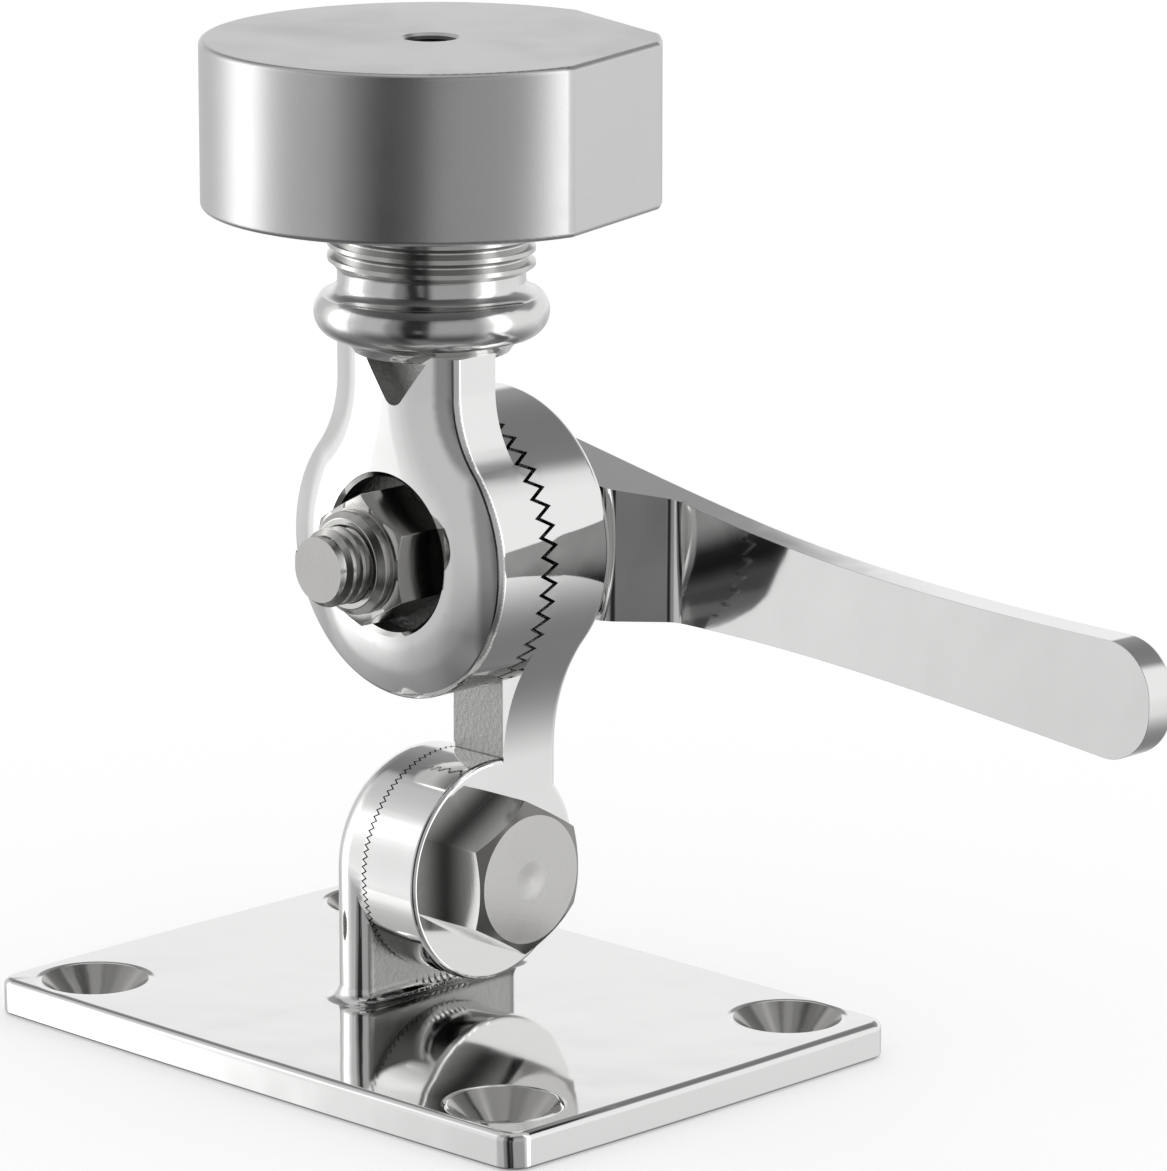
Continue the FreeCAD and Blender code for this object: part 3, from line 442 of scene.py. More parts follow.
@dataclass(frozen=True)
class AsCast:
    """Blasted grey skin of a casting where it was never polished; on the head its colour also carries painted
    shade in the nut pocket and painted light in the cast hollow.
    """

    name: str
    colour: Colour
    rough: float
    grain: float = 0.00025

    def material(self, groups: SurfaceGroups) -> bpy.types.Material:
        """Builds the finish.

        Args:
            groups: Shared shader groups.

        Returns:
            The material.
        """
        material, tree, shader, skin = principled(self.name, groups)
        colour = tree.mix(skin["Smudge"], self.colour, darker(self.colour, 0.6))
        tree.join(colour, shader, "Base Color")
        rough = tree.math("ADD", tree.math("MULTIPLY", skin["Smudge"], 0.1), self.rough)
        tree.join(rough, shader, "Roughness")
        finish_metal(tree, shader, tree.math("MULTIPLY", skin["Grains"], self.grain))
        return material


@dataclass(frozen=True)
class TurnedMetal:
    """Metal from the lathe: fine rings and a satin sheen.

    Attributes:
        name: The material's name.
        centre: A point on the lathe's axis, in millimetres.
        axis: Its direction.
        colour: The metal's colour.
        rough: Least roughness.
        line_height: Height of the rings, in metres.
        density: How close they lie.
        grain_size: How fine the metal's grain is.
        painted_shade: Where along the axis painted shade ends and stops, in millimetres, and what is left of
            the colour.
    """

    name: str
    centre: Point
    axis: Point = (0.0, 0.0, 1.0)
    colour: Colour = (0.72, 0.72, 0.72, 1.0)
    rough: float = 0.3
    line_height: float = 0.000006
    density: float = 2500.0
    grain_size: float = 2600.0
    painted_shade: Point | None = None

    def material(self, groups: SurfaceGroups) -> bpy.types.Material:
        """Builds the finish.

        Args:
            groups: Shared shader groups.

        Returns:
            The material.
        """
        material, tree, shader, skin = principled(self.name, groups, self.grain_size)
        lines = tree.add("ShaderNodeGroup", {"Centre": [value * MM for value in self.centre],
                                             "Axis": self.axis, "Density": self.density},
                         node_tree=groups.turned_lines)
        tone = tree.ramp(lines.outputs["Bands"], 0.3, 0.7, -0.02, 0.02)
        rough = tree.math("ADD", tree.math("MULTIPLY", skin["Smudge"], 0.06), self.rough)
        tree.join(rough, shader, "Roughness")
        share = tree.math("ADD", tree.math("MULTIPLY", skin["Grains"], 0.8), tone)
        colour = tree.mix(share, self.colour, darker(self.colour, 0.9))
        # Painted shade: the colour is darkened along the axis, nearly to black toward the low end.
        if self.painted_shade is not None:
            along = tree.vector("DOT_PRODUCT", tree.place(), self.axis)
            low, high, least = self.painted_shade
            light = tree.ramp(along, low * MM, high * MM, least, 1.0)
            colour = tree.mix(light, (0.0, 0.0, 0.0, 1.0), colour)
        tree.join(colour, shader, "Base Color")
        height = tree.math("ADD", tree.math("MULTIPLY", lines.outputs["Lines"], self.line_height),
                           tree.math("MULTIPLY", skin["Grains"], self.line_height * 1.2))
        finish_metal(tree, shader, height)
        return material


@dataclass(frozen=True)
class NylonRing:
    """Pale nylon of a locking ring."""

    name: str
    colour: Colour = (0.62, 0.65, 0.68, 1.0)

    def material(self, groups: SurfaceGroups) -> bpy.types.Material:
        """Builds the finish.

        Args:
            groups: Shared shader groups.

        Returns:
            The material.
        """
        material, tree, shader, skin = principled(self.name, groups)
        colour = tree.mix(skin["Smudge"], self.colour, darker(self.colour, 0.8))
        tree.join(colour, shader, "Base Color")
        tree.join(tree.ramp(skin["Grains"], 0.2, 0.8, 0.35, 0.5), shader, "Roughness")
        return material


# Mesh helpers


def link_object(name: str, mesh: bpy.types.Mesh) -> bpy.types.Object:
    """Puts a mesh into the scene as an object.

    Args:
        name: The object's name.
        mesh: Its mesh.

    Returns:
        The new object.
    """
    made = bpy.data.objects.new(name, mesh)
    bpy.context.scene.collection.objects.link(made)
    return made


def pull_in(point: Vector, centre: Vector, reach: float) -> Vector:
    """Returns a point moved in to a centre where it lies beyond a reach."""
    away = point - centre
    return centre + away.normalized() * reach if away.length > reach else point


def crisp_copy(node: str, name: str, reshape: Callable[[Vector], Vector] | None = None,
               angle: float = 32.0, finish: Callable[[Vector, Vector], int] | None = None,
               soften: float = 0.0, soft_edge: Callable[[Vector], bool] | None = None) -> bpy.types.Object:
    """Copies a CAD node's mesh, merges its loose triangles and shades it smooth between crisp edges.

    Args:
        node: The CAD node.
        name: The copy's name.
        reshape: Moves a point, in metres.
        angle: Edges sharper than this many degrees stay crisp.
        finish: Tells from a face's centre, in millimetres, and its normal which finish it takes.
        soften: Width that sharp edges are rounded by, in millimetres.
        soft_edge: Tells from a sharp edge's middle, in millimetres, whether it is rounded.

    Returns:
        The copy, at the origin.
    """
    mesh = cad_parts[node].data.copy()
    mesh.name = name
    mesh.materials.clear()
    shape = bmesh.new()
    shape.from_mesh(mesh)
    bmesh.ops.remove_doubles(shape, verts=shape.verts, dist=MERGE_DISTANCE)
    if reshape is not None:
        for vert in shape.verts:
            vert.co = reshape(vert.co)
    shape.normal_update()
    for face in shape.faces:
        face.smooth = True
        if finish is not None:
            face.material_index = finish(face.calc_center_median() / MM, face.normal)
    limit = math.radians(angle)
    weight = shape.edges.layers.float.new("bevel_weight_edge") if soften else None
    for edge in shape.edges:
        edge.smooth = len(edge.link_faces) == 2 and edge.calc_face_angle(0.0) < limit
        if weight is not None and not edge.smooth and len(edge.link_faces) == 2:
            middle = (edge.verts[0].co + edge.verts[1].co) / 2 / MM
            edge[weight] = 1.0 if soft_edge is None or soft_edge(middle) else 0.0
    shape.to_mesh(mesh)
    shape.free()
    if "custom_normal" in mesh.attributes:
        mesh.attributes.remove(mesh.attributes["custom_normal"])
    made = link_object(name, mesh)
    if soften:
        rounding = made.modifiers.new("Rounded edges", "BEVEL")
        rounding.limit_method = "WEIGHT"
        rounding.width = soften * MM
        rounding.segments = 2
    normals = made.modifiers.new("Flat faces stay flat", "WEIGHTED_NORMAL")
    normals.keep_sharp = True
    normals.weight = 100
    return made


def set_input(modifier: bpy.types.Modifier, label: str, value: object) -> None:
    """Sets a Geometry Nodes modifier's input by its label.

    Args:
        modifier: The modifier.
        label: The input's name.
        value: Its value.
    """
    for item in modifier.node_group.interface.items_tree:
        if item.item_type == "SOCKET" and item.in_out == "INPUT" and item.name == label:
            modifier[item.identifier] = value
            return
    raise ValueError(label)


@dataclass(frozen=True)
class Thread:
    """Sizes and place of a screw thread, in millimetres.

    Attributes:
        start: Where its axis begins.
        axis: Direction it grows in.
        radius: Outer radius.
        root_radius: Radius at the bottom of the grooves.
        pitch: Rise in one turn.
        length: Threaded length.
        sunk: How far the ridge's foot reaches into the core.
        start_angle: Where round the axis it begins, in degrees.
        foot: Width of the ridge's foot, as a share of the pitch.
        crest: Width of its crest, as a share of the pitch.
    """

    start: Point
    axis: Point
    radius: float
    root_radius: float
    pitch: float
    length: float
    sunk: float = 0.05
    start_angle: float = 150.0
    foot: float = 0.96
    crest: float = 0.3

    def placement(self) -> Matrix:
        """Returns the matrix that takes a thread about +Z to its place."""
        turn = Vector((0.0, 0.0, 1.0)).rotation_difference(Vector(self.axis)).to_matrix().to_4x4()
        spin = Matrix.Rotation(math.radians(self.start_angle), 4, "Z")
        return Matrix.Translation(Vector(self.start) * MM) @ turn @ spin


class ThreadTree:
    """Geometry Nodes tree of a screw thread: a V ridge swept along a helix about +Z."""

    INPUTS = {"Root Radius": 0.005, "Depth": 0.001, "Pitch": 0.0015, "Turns": 5.0,
              "Foot Width": 0.0015, "Crest Width": 0.0002}

    def __init__(self) -> None:
        """Builds the tree."""
        group = bpy.data.node_groups.new("Screw thread", "GeometryNodeTree")
        for label, default in self.INPUTS.items():
            socket = group.interface.new_socket(label, in_out="INPUT", socket_type="NodeSocketFloat")
            socket.default_value = default
        group.interface.new_socket("Material", in_out="INPUT", socket_type="NodeSocketMaterial")
        group.interface.new_socket("Geometry", in_out="OUTPUT", socket_type="NodeSocketGeometry")
        tree = Tree(group)
        entry = tree.add("NodeGroupInput").outputs
        height = tree.math("MULTIPLY", entry["Pitch"], entry["Turns"])
        middle = tree.math("ADD", entry["Root Radius"], tree.math("MULTIPLY", entry["Depth"], 0.5))
        helix = tree.add("GeometryNodeCurveSpiral", {"Resolution": 64, "Rotations": entry["Turns"],
                                                     "Start Radius": middle, "End Radius": middle,
                                                     "Height": height})
        upright = tree.add("GeometryNodeSetCurveNormal", {"Curve": helix.outputs[0]}, mode="Z_UP")
        profile = tree.add("GeometryNodeCurvePrimitiveQuadrilateral",
                           {"Height": entry["Depth"], "Bottom Width": entry["Foot Width"],
                            "Top Width": entry["Crest Width"], "Offset": 0.0}, mode="TRAPEZOID")
        turned = tree.add("GeometryNodeTransform", {"Geometry": profile.outputs[0],
                                                    "Rotation": (0.0, 0.0, math.pi / 2)})
        ridge = tree.add("GeometryNodeCurveToMesh", {"Curve": upright.outputs[0],
                                                     "Profile Curve": turned.outputs[0], "Fill Caps": True})
        solid = tree.add("GeometryNodeRealizeInstances", {0: ridge.outputs[0]})
        dressed = tree.add("GeometryNodeSetMaterial", {"Geometry": solid.outputs[0],
                                                       "Material": entry["Material"]})
        tree.add("NodeGroupOutput", {"Geometry": dressed.outputs[0]})
        self.group = group

    def make(self, name: str, thread: Thread, material: bpy.types.Material) -> bpy.types.Object:
        """Makes one thread as a plain mesh.

        Args:
            name: The piece's name.
            thread: Its sizes and place.
            material: Its finish.

        Returns:
            The piece, at the origin.
        """
        holder = link_object(name + "_maker", bpy.data.meshes.new(name + "_maker"))
        modifier = holder.modifiers.new("Thread", "NODES")
        modifier.node_group = self.group
        for label, value in (("Root Radius", thread.root_radius - thread.sunk), ("Pitch", thread.pitch),
                             ("Depth", thread.radius - thread.root_radius + thread.sunk),
                             ("Foot Width", thread.pitch * thread.foot),
                             ("Crest Width", thread.pitch * thread.crest)):
            set_input(modifier, label, value * MM)
        set_input(modifier, "Turns", thread.length / thread.pitch)
        set_input(modifier, "Material", material)
        bpy.context.view_layer.update()
        evaluated = holder.evaluated_get(bpy.context.evaluated_depsgraph_get())
        mesh = bpy.data.meshes.new_from_object(evaluated)
        mesh.name = name
        holder.modifiers.remove(modifier)
        bpy.data.objects.remove(holder)
        mesh.transform(thread.placement())
        shape = bmesh.new()
        shape.from_mesh(mesh)
        bmesh.ops.remove_doubles(shape, verts=shape.verts, dist=MERGE_DISTANCE / 2)
        bmesh.ops.recalc_face_normals(shape, faces=shape.faces)
        for face in shape.faces:
            face.smooth = True
        for edge in shape.edges:
            edge.smooth = edge.calc_face_angle(0.0) < math.radians(30)
        shape.to_mesh(mesh)
        shape.free()
        return link_object(name, mesh)


def attach(piece: bpy.types.Object, body: Body, slot: Slot, replaced: str | None = None) -> None:
    """Lets a piece ride on its body.

    Args:
        piece: The piece.
        body: The body that carries it.
        slot: The record's material slot; not used.
        replaced: CAD node that it stands for.
    """
    if replaced:
        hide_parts(replaced)
    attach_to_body(piece, body.value)
    LOG.info("%s: %d faces on %s", piece.name, len(piece.data.polygons), body.value)


def dress(piece: bpy.types.Object, *materials: bpy.types.Material) -> None:
    """Gives a piece its materials, and keeps which face takes which.

    Args:
        piece: The object.
        materials: Its finishes, the main one first.
    """
    chosen = [face.material_index for face in piece.data.polygons]
    piece.data.materials.clear()
    for material in materials:
        piece.data.materials.append(material)
    for face, number in zip(piece.data.polygons, chosen):
        face.material_index = min(number, len(materials) - 1)


# Sub-assemblies


@dataclass
class UpperJoint:
    """Head casting with its antenna thread, clamp bolt, lock nut and washer.

    Attributes:
        thread_axis: Plan position of the antenna thread's axis.
        stub_radius: Outer radius of the antenna thread.
        stub_root: Radius at the bottom of its grooves.
        stub_pitch: Rise in one turn.
        stub_from: Height where the thread starts.
        stub_to: Height where it ends.
        pivot_z: Height of the joint's axis.
        bolt_radius: Outer radius of the clamp bolt.
        bolt_root: Radius at the bottom of its grooves.
        bolt_pitch: Rise in one turn.
        bolt_end_y: Where the bolt ends.
        bolt_thread: Threaded length that can be seen or nearly so.
        turned_from: Height where the head's turned part starts.
        front_y: The domed front lies before this.
        hollow_x: Middle of the cast hollow, from the thread's axis.
        hollow_half: Half its width.
        hollow_z: Its lowest and highest points.
        hollow_y: Its front and back.
        pocket_radius: The nut's pocket lies within this.
        pocket_y: Its front and back.
        tooth_y: The gap between the teeth starts here.
        tooth_radius: The teeth lie within this.
    """

    thread_axis: tuple[float, float] = (-3.7, 3.1)
    stub_radius: float = 12.68
    stub_root: float = 11.9
    stub_pitch: float = 1.814
    stub_from: float = 95.8
    stub_to: float = 114.0
    pivot_z: float = 61.1
    bolt_radius: float = 4.75
    bolt_root: float = 4.02
    bolt_pitch: float = 1.5875
    bolt_end_y: float = -16.3
    bolt_thread: float = 26.0
    turned_from: float = 87.6
    front_y: float = -2.3
    hollow_x: float = 1.5
    hollow_half: float = 5.6
    hollow_z: tuple[float, float] = (77.5, 85.7)
    hollow_y: tuple[float, float] = (-4.88, -1.2)
    pocket_radius: float = 9.8
    pocket_y: tuple[float, float] = (-4.0, 3.0)
    tooth_y: float = 3.45
    tooth_radius: float = 18.0

    def slim_stub(self, point: Vector) -> Vector:
        """Moves the stub's outer points in to the bottom of the thread's grooves.

        Args:
            point: A point of the head casting, in metres.

        Returns:
            The moved point.
        """
        centre = Vector((self.thread_axis[0] * MM, self.thread_axis[1] * MM, point.z))
        inside = point.z <= (self.stub_from - 0.3) * MM
        return point if inside else pull_in(point, centre, self.stub_root * MM)

    def head_finish(self, centre: Vector, normal: Vector) -> HeadFinish:
        """Chooses a face's finish on the head.

        Args:
            centre: The face's centre in millimetres.
            normal: Its normal.

        Returns:
            The finish.
        """
        if centre.z > self.turned_from:
            return HeadFinish.TURNED
        if normal.y < -0.4 and centre.y < self.front_y and centre.z < self.hollow_z[1]:
            return HeadFinish.FRONT
        across = centre.x - self.thread_axis[0]
        hollow = (abs(across - self.hollow_x) < self.hollow_half
                  and self.hollow_z[0] < centre.z < self.hollow_z[1]
                  and self.hollow_y[0] < centre.y < self.hollow_y[1])
        if hollow and (normal.y > -0.3 or centre.y > -2.0):
            return HeadFinish.HOLLOW
        away = math.hypot(across, centre.z - self.pivot_z)
        if away < self.pocket_radius and self.pocket_y[0] < centre.y < self.pocket_y[1]:
            return HeadFinish.POCKET
        between = centre.y > self.tooth_y and away < self.tooth_radius
        return HeadFinish.HOLLOW if between else HeadFinish.POLISHED

    def slim_bolt(self, point: Vector) -> Vector:
        """Moves the clamp bolt's shank in to the bottom of its grooves.

        Args:
            point: A point of the bolt, in metres.

        Returns:
            The moved point.
        """
        centre = Vector((self.thread_axis[0] * MM, point.y, self.pivot_z * MM))
        inside = point.y >= (self.bolt_end_y + self.bolt_thread) * MM
        return point if inside else pull_in(point, centre, self.bolt_root * MM)

    def build(self, groups: SurfaceGroups, threads: ThreadTree) -> None:
        """Makes and dresses every piece of the upper joint.

        Args:
            groups: Shared shader groups.
            threads: Maker of screw threads.
        """
        axis_x, axis_y = self.thread_axis
        cast = PolishedCasting("Polished head").material(groups)
        # The cast hollow has grey cast skin, and its colour is raised to near the polished steel's: partly
        # its own grey, partly painted light in the shaded recess.
        as_cast_and_painted_light = AsCast("Cast hollow lightened as painted light", (0.86, 0.86, 0.85, 1.0), 0.55).material(groups)
        # The nut pocket takes a near-black grey: painted shade in the recess around the nut, not the cast
        # skin's own colour.
        pocket = AsCast("Nut pocket painted shade", (0.12, 0.12, 0.117, 1.0), 0.3).material(groups)
        head = crisp_copy("head_casting", "head_body", self.slim_stub, finish=self.head_finish)
        turned = TurnedMetal("Turned flange", (axis_x, axis_y, 0.0), colour=(0.74, 0.74, 0.735, 1.0),
                             rough=0.13, line_height=0.000002).material(groups)
        front_fall = EdgeFall(groups.head_outline, 0.68, 6.0)
        front = PolishedCasting("Polished front", fall=front_fall).material(groups)
        dress(head, cast, as_cast_and_painted_light, pocket, turned, front)
        attach(head, Body.HEAD, Slot.CAST, "head_casting")
        steel = TurnedMetal("Rolled thread steel", (axis_x, axis_y, 0.0), colour=(0.62, 0.62, 0.61, 1.0),
                            rough=0.16, line_height=0.000002).material(groups)
        stub = threads.make("antenna_thread", Thread(
            (axis_x, axis_y, self.stub_from), (0.0, 0.0, 1.0), self.stub_radius, self.stub_root,
            self.stub_pitch, self.stub_to - self.stub_from), steel)
        attach(stub, Body.HEAD, Slot.CAST)
        bolt_steel = TurnedMetal("Bolt steel", (axis_x, 0.0, self.pivot_z), (0.0, 1.0, 0.0),
                                 (0.54, 0.535, 0.52, 1.0), 0.15).material(groups)
        bolt_end = TurnedMetal("Cut bolt end", (axis_x, 0.0, self.pivot_z), (0.0, 1.0, 0.0),
                               (0.47, 0.465, 0.455, 1.0), 0.36, 0.00001).material(groups)
        bolt = crisp_copy("clamp_bolt", "clamp_bolt_body", self.slim_bolt,
                          finish=lambda centre, normal: int(normal.y < -0.95))
        dress(bolt, bolt_steel, bolt_end)
        attach(bolt, Body.LEVER, Slot.BOLT, "clamp_bolt")
        thread = threads.make("clamp_bolt_thread", Thread(
            (axis_x, self.bolt_end_y + 0.85, self.pivot_z), (0.0, 1.0, 0.0), self.bolt_radius, self.bolt_root,
            self.bolt_pitch, self.bolt_thread - 2.0, start_angle=200.0), bolt_steel)
        attach(thread, Body.LEVER, Slot.BOLT)
        for node, name, body in (("clamp_lock_nut", "lock_nut_body", Body.NUT),
                                 ("clamp_washer", "washer_body", Body.LINK)):
            piece = crisp_copy(node, name, soften=0.12)
            dress(piece, bolt_steel)
            attach(piece, body, Slot.BOLT, node)
        ring = crisp_copy("lock_nut_insert", "lock_ring")
        dress(ring, NylonRing("Nylon").material(groups))
        attach(ring, Body.NUT, Slot.NYLON, "lock_nut_insert")


@dataclass
class Castings:
    """Base, link and lever, polished all over but for the faces that a wheel can't reach."""

    ear_face_x: float = -4.2
    column_face_y: float = 6.55
    hole_x: float = 36.3
    hole_y: float = 24.5
    hole_reach: float = 6.9
    paddle_front_y: float = 22.7

    def paddle_rim(self, middle: Vector) -> bool:
        """Tells whether an edge runs along the front of the lever's paddle, where it is rounded."""
        return middle.x > 20.0 and abs(middle.y - self.paddle_front_y) < 0.05

    def base_finish(self, centre: Vector, normal: Vector) -> int:
        """Chooses a face's finish on the base: 1 in the countersunk holes, whose darker colour is painted
        shade, 0 elsewhere.
        """
        away = math.hypot(abs(centre.x) - self.hole_x, abs(centre.y) - self.hole_y)
        return int(away < self.hole_reach and abs(normal.z) < 0.9)

    def build(self, groups: SurfaceGroups) -> None:
        """Makes and dresses the castings.

        Args:
            groups: Shared shader groups.
        """
        ear_foot = Patch((self.ear_face_x, 4.9, 10.0), (0.12, 12.5, 4.6))
        base = crisp_copy("base_casting", "base_body", finish=self.base_finish)
        dress(base, PolishedCasting("Polished base", ear_foot, wave=0.00006,
                                    fall=EdgeFall(groups.hole_rims, 0.3, 0.9)).material(groups),
              # The countersinks take a much darker colour than the plate's steel: painted shade in the holes.
              PolishedCasting("Countersink painted shade", colour=(0.42, 0.415, 0.405, 1.0), rough=0.16,
                              wave=0.0001).material(groups))
        attach(base, Body.BASE, Slot.CAST, "base_casting")
        column_front = Patch((0.5, self.column_face_y, 38.0), (4.2, 0.15, 8.0))
        link = crisp_copy("link_casting", "link_body")
        dress(link, PolishedCasting("Polished link", column_front).material(groups))
        attach(link, Body.LINK, Slot.CAST, "link_casting")
        lever = crisp_copy("lever_handle", "lever_body", soften=0.55, soft_edge=self.paddle_rim)
        dress(lever, PolishedCasting("Polished lever", wave=0.0001).material(groups))
        attach(lever, Body.LEVER, Slot.CAST, "lever_handle")


@dataclass
class LowerBolt:
    """Hexagon bolt of the lower joint."""

    axis_y: float = 4.9
    axis_z: float = 21.0

    def outer_edge(self, middle: Vector) -> bool:
        """Tells whether an edge lies outside the dish of the end face."""
        return abs(middle.z - self.axis_z) + abs(middle.y - self.axis_y) > 6.0

    @staticmethod
    def finish(centre: Vector, normal: Vector) -> BoltFinish:
        """Chooses a face's finish on the bolt.

        Args:
            centre: The face's centre in millimetres.
            normal: Its normal.

        Returns:
            The finish.
        """
        lean = abs(normal.x)
        if lean > 0.93:
            return BoltFinish.FACE if lean > 0.9995 else BoltFinish.DISH
        return BoltFinish.SIDES if lean < 0.1 else BoltFinish.CORNERS

    def build(self, groups: SurfaceGroups) -> None:
        """Makes and dresses the bolt.

        Args:
            groups: Shared shader groups.
        """
        centre, along = (0.0, self.axis_y, self.axis_z), (1.0, 0.0, 0.0)
        finishes = (
            TurnedMetal("Turned bolt face", centre, along, (0.56, 0.555, 0.545, 1.0), 0.22, 0.000005),
            # The sides take a brighter colour than the face as painted highlight, darkened toward the head's
            # inner end as painted shade.
            TurnedMetal("Forged bolt sides, painted highlight and shade", centre, along, (0.85, 0.845, 0.83, 1.0), 0.12, 0.000003,
                        painted_shade=(5.0, 10.8, 0.12)),
            # The corners take a near-black colour: painted dark reflection on the same steel.
            TurnedMetal("Bolt corners painted dark reflection", centre, along, (0.24, 0.235, 0.23, 1.0), 0.2, 0.000003),
            TurnedMetal("Dished bolt face", centre, along, (0.58, 0.575, 0.565, 1.0), 0.42, 0.000005))
        bolt = crisp_copy("lower_bolt", "lower_bolt_body", angle=8.0, finish=self.finish, soften=0.15,
                          soft_edge=self.outer_edge)
        dress(bolt, *(finish.material(groups) for finish in finishes))
        attach(bolt, Body.BASE, Slot.BOLT, "lower_bolt")


@dataclass
class Adapter:
    """Turned aluminium adapter on the antenna thread."""

    axis: tuple[float, float] = (-3.7, 3.1)

    def finish(self, centre: Vector, normal: Vector) -> int:
        """Chooses a face's finish on the adapter: 1 in the hole and in the thread below, which are painted
        near black as shade, 0 elsewhere.
        """
        away = math.hypot(centre.x - self.axis[0], centre.y - self.axis[1])
        return int(away < 3.3 and normal.z < 0.9 or away < 13.0 and abs(normal.z) < 0.5)

    def build(self, groups: SurfaceGroups) -> None:
        """Makes and dresses the adapter.

        Args:
            groups: Shared shader groups.
        """
        centre = (*self.axis, 0.0)
        finish = TurnedMetal("Turned aluminium", centre, colour=(0.64, 0.64, 0.645, 1.0), rough=0.29,
                             density=1800.0)
        # The hole and the thread below take near-black aluminium: painted shade inside them.
        inside = TurnedMetal("Tapped hole painted shade", centre, colour=(0.1, 0.1, 0.1, 1.0))
        piece = crisp_copy("antenna_adapter", "adapter_body", finish=self.finish)
        dress(piece, finish.material(groups), inside.material(groups))
        attach(piece, Body.ADAPTER, Slot.ADAPTER, "antenna_adapter")


# Studio


@dataclass(frozen=True)
class Card:
    """A soft-edged patch of the studio that polished metal mirrors.

    Attributes:
        azimuth: Direction from the object in degrees, 0 along +X, 90 along +Y.
        elevation: Height above the horizon in degrees.
        half_width: Half its width in degrees.
        half_height: Half its height in degrees.
        softness: Width of its soft edge, as a share of the half width.
        tone: Its brightness.
    """

    azimuth: float
    elevation: float
    half_width: float
    half_height: float
    softness: float
    tone: float


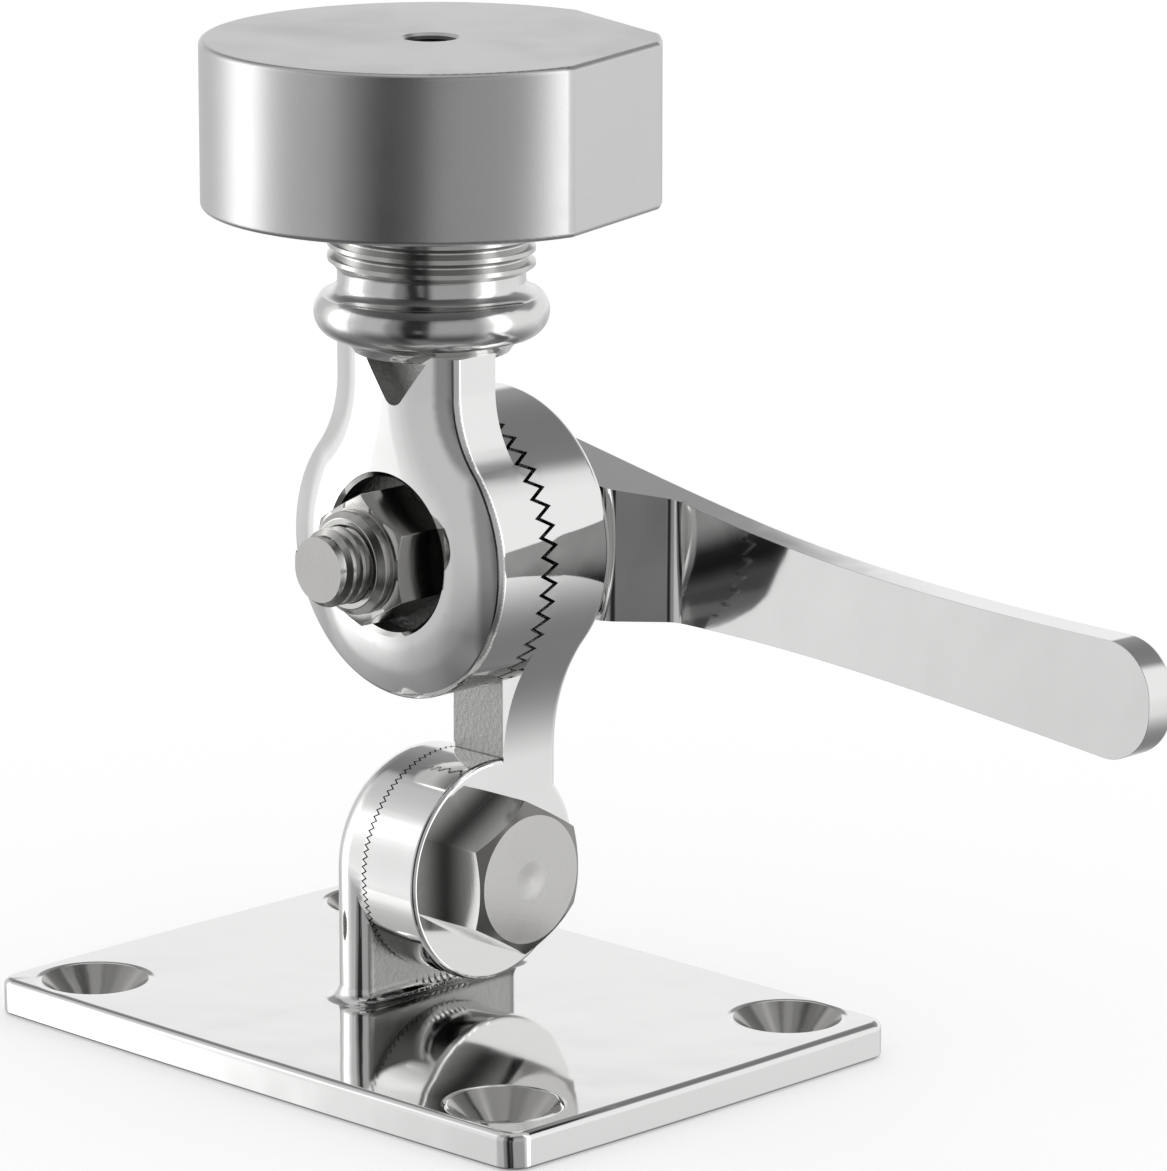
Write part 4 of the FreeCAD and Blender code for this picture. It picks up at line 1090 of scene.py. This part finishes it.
@dataclass
class Studio:
    """Camera, world and floor.

    Attributes:
        yaw: The camera looks this many degrees left of +Y.
        pitch: And this many degrees down.
        distance: From the aim point, in millimetres.
        aim: Aim point in millimetres.
        shift: Sideways and upward shift of the camera in its own plane, in millimetres.
        focal_pixels: Focal length in the picture's pixels.
        picture: Picture's larger side in pixels.
        sensor: Width of the camera's sensor in millimetres.
        light: Strength of the plain light on the object.
        plain_tone: What the metal mirrors where there is no card.
        overhead: Share of it that is left high above.
        below: Share of it that is left deep below.
        floor_reach: The floor's radius in metres.
        floor_drop: How far it lies below the plate, in millimetres.
        floor_tone: Its own tone.
        floor_glow: What is added to show it white.
        cards: Patches that the metal mirrors.
    """

    yaw: float = 44.64344522
    pitch: float = 13.60052211
    distance: float = 857.77
    aim: Point = (0.0, 0.0, 60.0)
    shift: tuple[float, float] = (18.0, -2.89)
    focal_pixels: float = 7030.11
    picture: float = 1171.0
    sensor: float = 36.0
    light: float = 0.9
    plain_tone: float = 0.97
    overhead: float = 0.6
    below: float = 0.22
    floor_reach: float = 6.0
    floor_drop: float = 0.2
    floor_tone: float = 0.72
    floor_glow: float = 0.36
    cards: tuple[Card, ...] = (
        Card(-104.0, 0.0, 24.0, 70.0, 1.1, 0.6),
        Card(-82.0, 0.0, 9.0, 70.0, 1.0, 0.28),
        Card(-20.0, 5.0, 30.0, 60.0, 0.7, 0.44),
        Card(-61.0, 5.0, 15.5, 50.0, 0.7, 0.025),
        Card(-57.0, -10.0, 3.5, 7.0, 1.4, 0.2),
        Card(-150.0, 0.0, 11.0, 26.0, 1.0, 2.3),
        Card(172.0, -5.0, 14.0, 50.0, 0.9, 0.66),
        Card(29.0, 0.0, 9.5, 60.0, 0.5, 2.0),
        Card(135.0, -16.0, 40.0, 8.0, 0.8, 0.72),
        Card(118.0, 41.0, 45.0, 20.0, 0.4, 0.34),
    )

    def camera(self) -> None:
        """Places the camera at the picture's viewing angle."""
        yaw, pitch = math.radians(self.yaw), math.radians(self.pitch)
        level = Vector((-math.sin(yaw), math.cos(yaw), 0.0))
        right = Vector((math.cos(yaw), math.sin(yaw), 0.0))
        ahead = math.cos(pitch) * level + Vector((0.0, 0.0, -math.sin(pitch)))
        upward = right.cross(ahead)
        place = Vector(self.aim) - self.distance * ahead + self.shift[0] * right + self.shift[1] * upward
        data = bpy.data.cameras.new("Camera")
        data.sensor_width = self.sensor
        data.lens = self.focal_pixels * self.sensor / self.picture
        data.clip_start = 0.05
        data.clip_end = 50.0
        camera = bpy.data.objects.new("Camera", data)
        bpy.context.scene.collection.objects.link(camera)
        rotation = Matrix((right, upward, -ahead)).transposed().to_4x4()
        camera.matrix_world = Matrix.Translation(place * MM) @ rotation
        bpy.context.scene.camera = camera

    @staticmethod
    def card_group() -> bpy.types.NodeTree:
        """Builds the group that tells how far a direction lies inside a card."""
        group, tree, entry, out = new_group(
            "Studio card", {"Direction": (0.0, 0.0, 1.0), "Middle": (1.0, 0.0, 0.0), "Side": (0.0, 1.0, 0.0),
                            "Up": (0.0, 0.0, 1.0), "Half Width": 0.3, "Half Height": 0.3, "Softness": 0.1},
            "Mask")
        ahead = tree.vector("DOT_PRODUCT", entry["Direction"], entry["Middle"])
        safe = tree.math("MAXIMUM", ahead, 0.001)
        masks = []
        for side, half in (("Side", "Half Width"), ("Up", "Half Height")):
            across = tree.vector("DOT_PRODUCT", entry["Direction"], entry[side])
            reach = tree.math("DIVIDE", tree.math("ABSOLUTE", tree.math("DIVIDE", across, safe)), entry[half])
            edge = tree.math("DIVIDE", tree.math("SUBTRACT", reach, 1.0), entry["Softness"])
            masks.append(tree.ramp(edge, -0.5, 0.5, 1.0, 0.0))
        front = tree.ramp(ahead, 0.0, 0.05)
        mask = tree.math("MULTIPLY", tree.math("MULTIPLY", masks[0], masks[1]), front)
        tree.join(mask, out, "Mask")
        return group

    def world(self) -> None:
        """Fills the world with plain light, and with the cards for mirrored rays."""
        world = bpy.data.worlds.new("Studio")
        bpy.context.scene.world = world
        world.use_nodes = True
        tree = Tree(world.node_tree)
        direction = tree.add("ShaderNodeTexCoord").outputs["Generated"]
        group = self.card_group()
        height = tree.split(direction)[2]
        tone: object = self.plain_tone
        for card in self.cards:
            turn, rise = math.radians(card.azimuth), math.radians(card.elevation)
            level = math.cos(rise)
            middle = Vector((math.cos(turn) * level, math.sin(turn) * level, math.sin(rise)))
            side = Vector((-math.sin(turn), math.cos(turn), 0.0))
            node = tree.add("ShaderNodeGroup", {
                "Direction": direction, "Middle": middle, "Side": side, "Up": middle.cross(side),
                "Half Width": math.tan(math.radians(card.half_width)),
                "Half Height": math.tan(math.radians(card.half_height)),
                "Softness": card.softness}, node_tree=group)
            blend = tree.add("ShaderNodeMix", {0: node.outputs[0], 2: tone, 3: card.tone}, data_type="FLOAT")
            tone = blend.outputs[0]
        overhead = tree.ramp(height, 0.4, 0.75, 1.0, self.overhead)
        below = tree.ramp(height, -0.75, -0.12, self.below, 1.0)
        tone = tree.math("MULTIPLY", tone, tree.math("MULTIPLY", overhead, below))
        path = tree.add("ShaderNodeLightPath")
        mirrored = tree.add("ShaderNodeBackground", {"Color": tone, "Strength": 1.0})
        shown = tree.math("MULTIPLY_ADD", path.outputs["Is Camera Ray"], 1.0 - self.light, self.light)
        plain = tree.add("ShaderNodeBackground", {"Color": (1.0, 1.0, 1.0, 1.0), "Strength": shown})
        both = tree.add("ShaderNodeMixShader", {0: path.outputs["Is Glossy Ray"], 1: plain.outputs[0],
                                                2: mirrored.outputs[0]})
        tree.add("ShaderNodeOutputWorld", {"Surface": both.outputs[0]})

    def floor(self) -> None:
        """Lays the pale floor, which shows white but keeps the object's shadow."""
        shape = bmesh.new()
        bmesh.ops.create_circle(shape, cap_ends=True, radius=self.floor_reach, segments=64)
        mesh = bpy.data.meshes.new("floor")
        shape.to_mesh(mesh)
        shape.free()
        floor = link_object("floor", mesh)
        floor.location.z = -self.floor_drop * MM
        material = bpy.data.materials.new("Floor")
        material.use_nodes = True
        tree = Tree(material.node_tree)
        path = tree.add("ShaderNodeLightPath")
        seen = tree.math("MAXIMUM", path.outputs["Is Camera Ray"], path.outputs["Is Glossy Ray"])
        diffuse = tree.add("ShaderNodeBsdfDiffuse", {"Color": (self.floor_tone,) * 3 + (1.0,)})
        glow = tree.add("ShaderNodeEmission", {"Color": (1.0, 1.0, 1.0, 1.0),
                                               "Strength": tree.math("MULTIPLY", seen, self.floor_glow)})
        both = tree.add("ShaderNodeAddShader", {0: diffuse.outputs[0], 1: glow.outputs[0]})
        tree.add("ShaderNodeOutputMaterial", {"Surface": both.outputs[0]})
        dress(floor, material)
        floor.visible_glossy = False

    def build(self) -> None:
        """Sets up the whole studio."""
        bpy.context.scene.view_settings.view_transform = "Standard"
        self.camera()
        self.world()
        self.floor()
        LOG.info("studio ready")


def main() -> None:
    """Builds every sub-assembly in order, then the studio."""
    logging.basicConfig(level=logging.INFO, format="%(name)s %(message)s")
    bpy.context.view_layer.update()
    groups = SurfaceGroups()
    threads = ThreadTree()
    Castings().build(groups)
    LowerBolt().build(groups)
    UpperJoint().build(groups, threads)
    Adapter().build(groups)
    Studio().build()


if __name__ == "__main__":
    main()
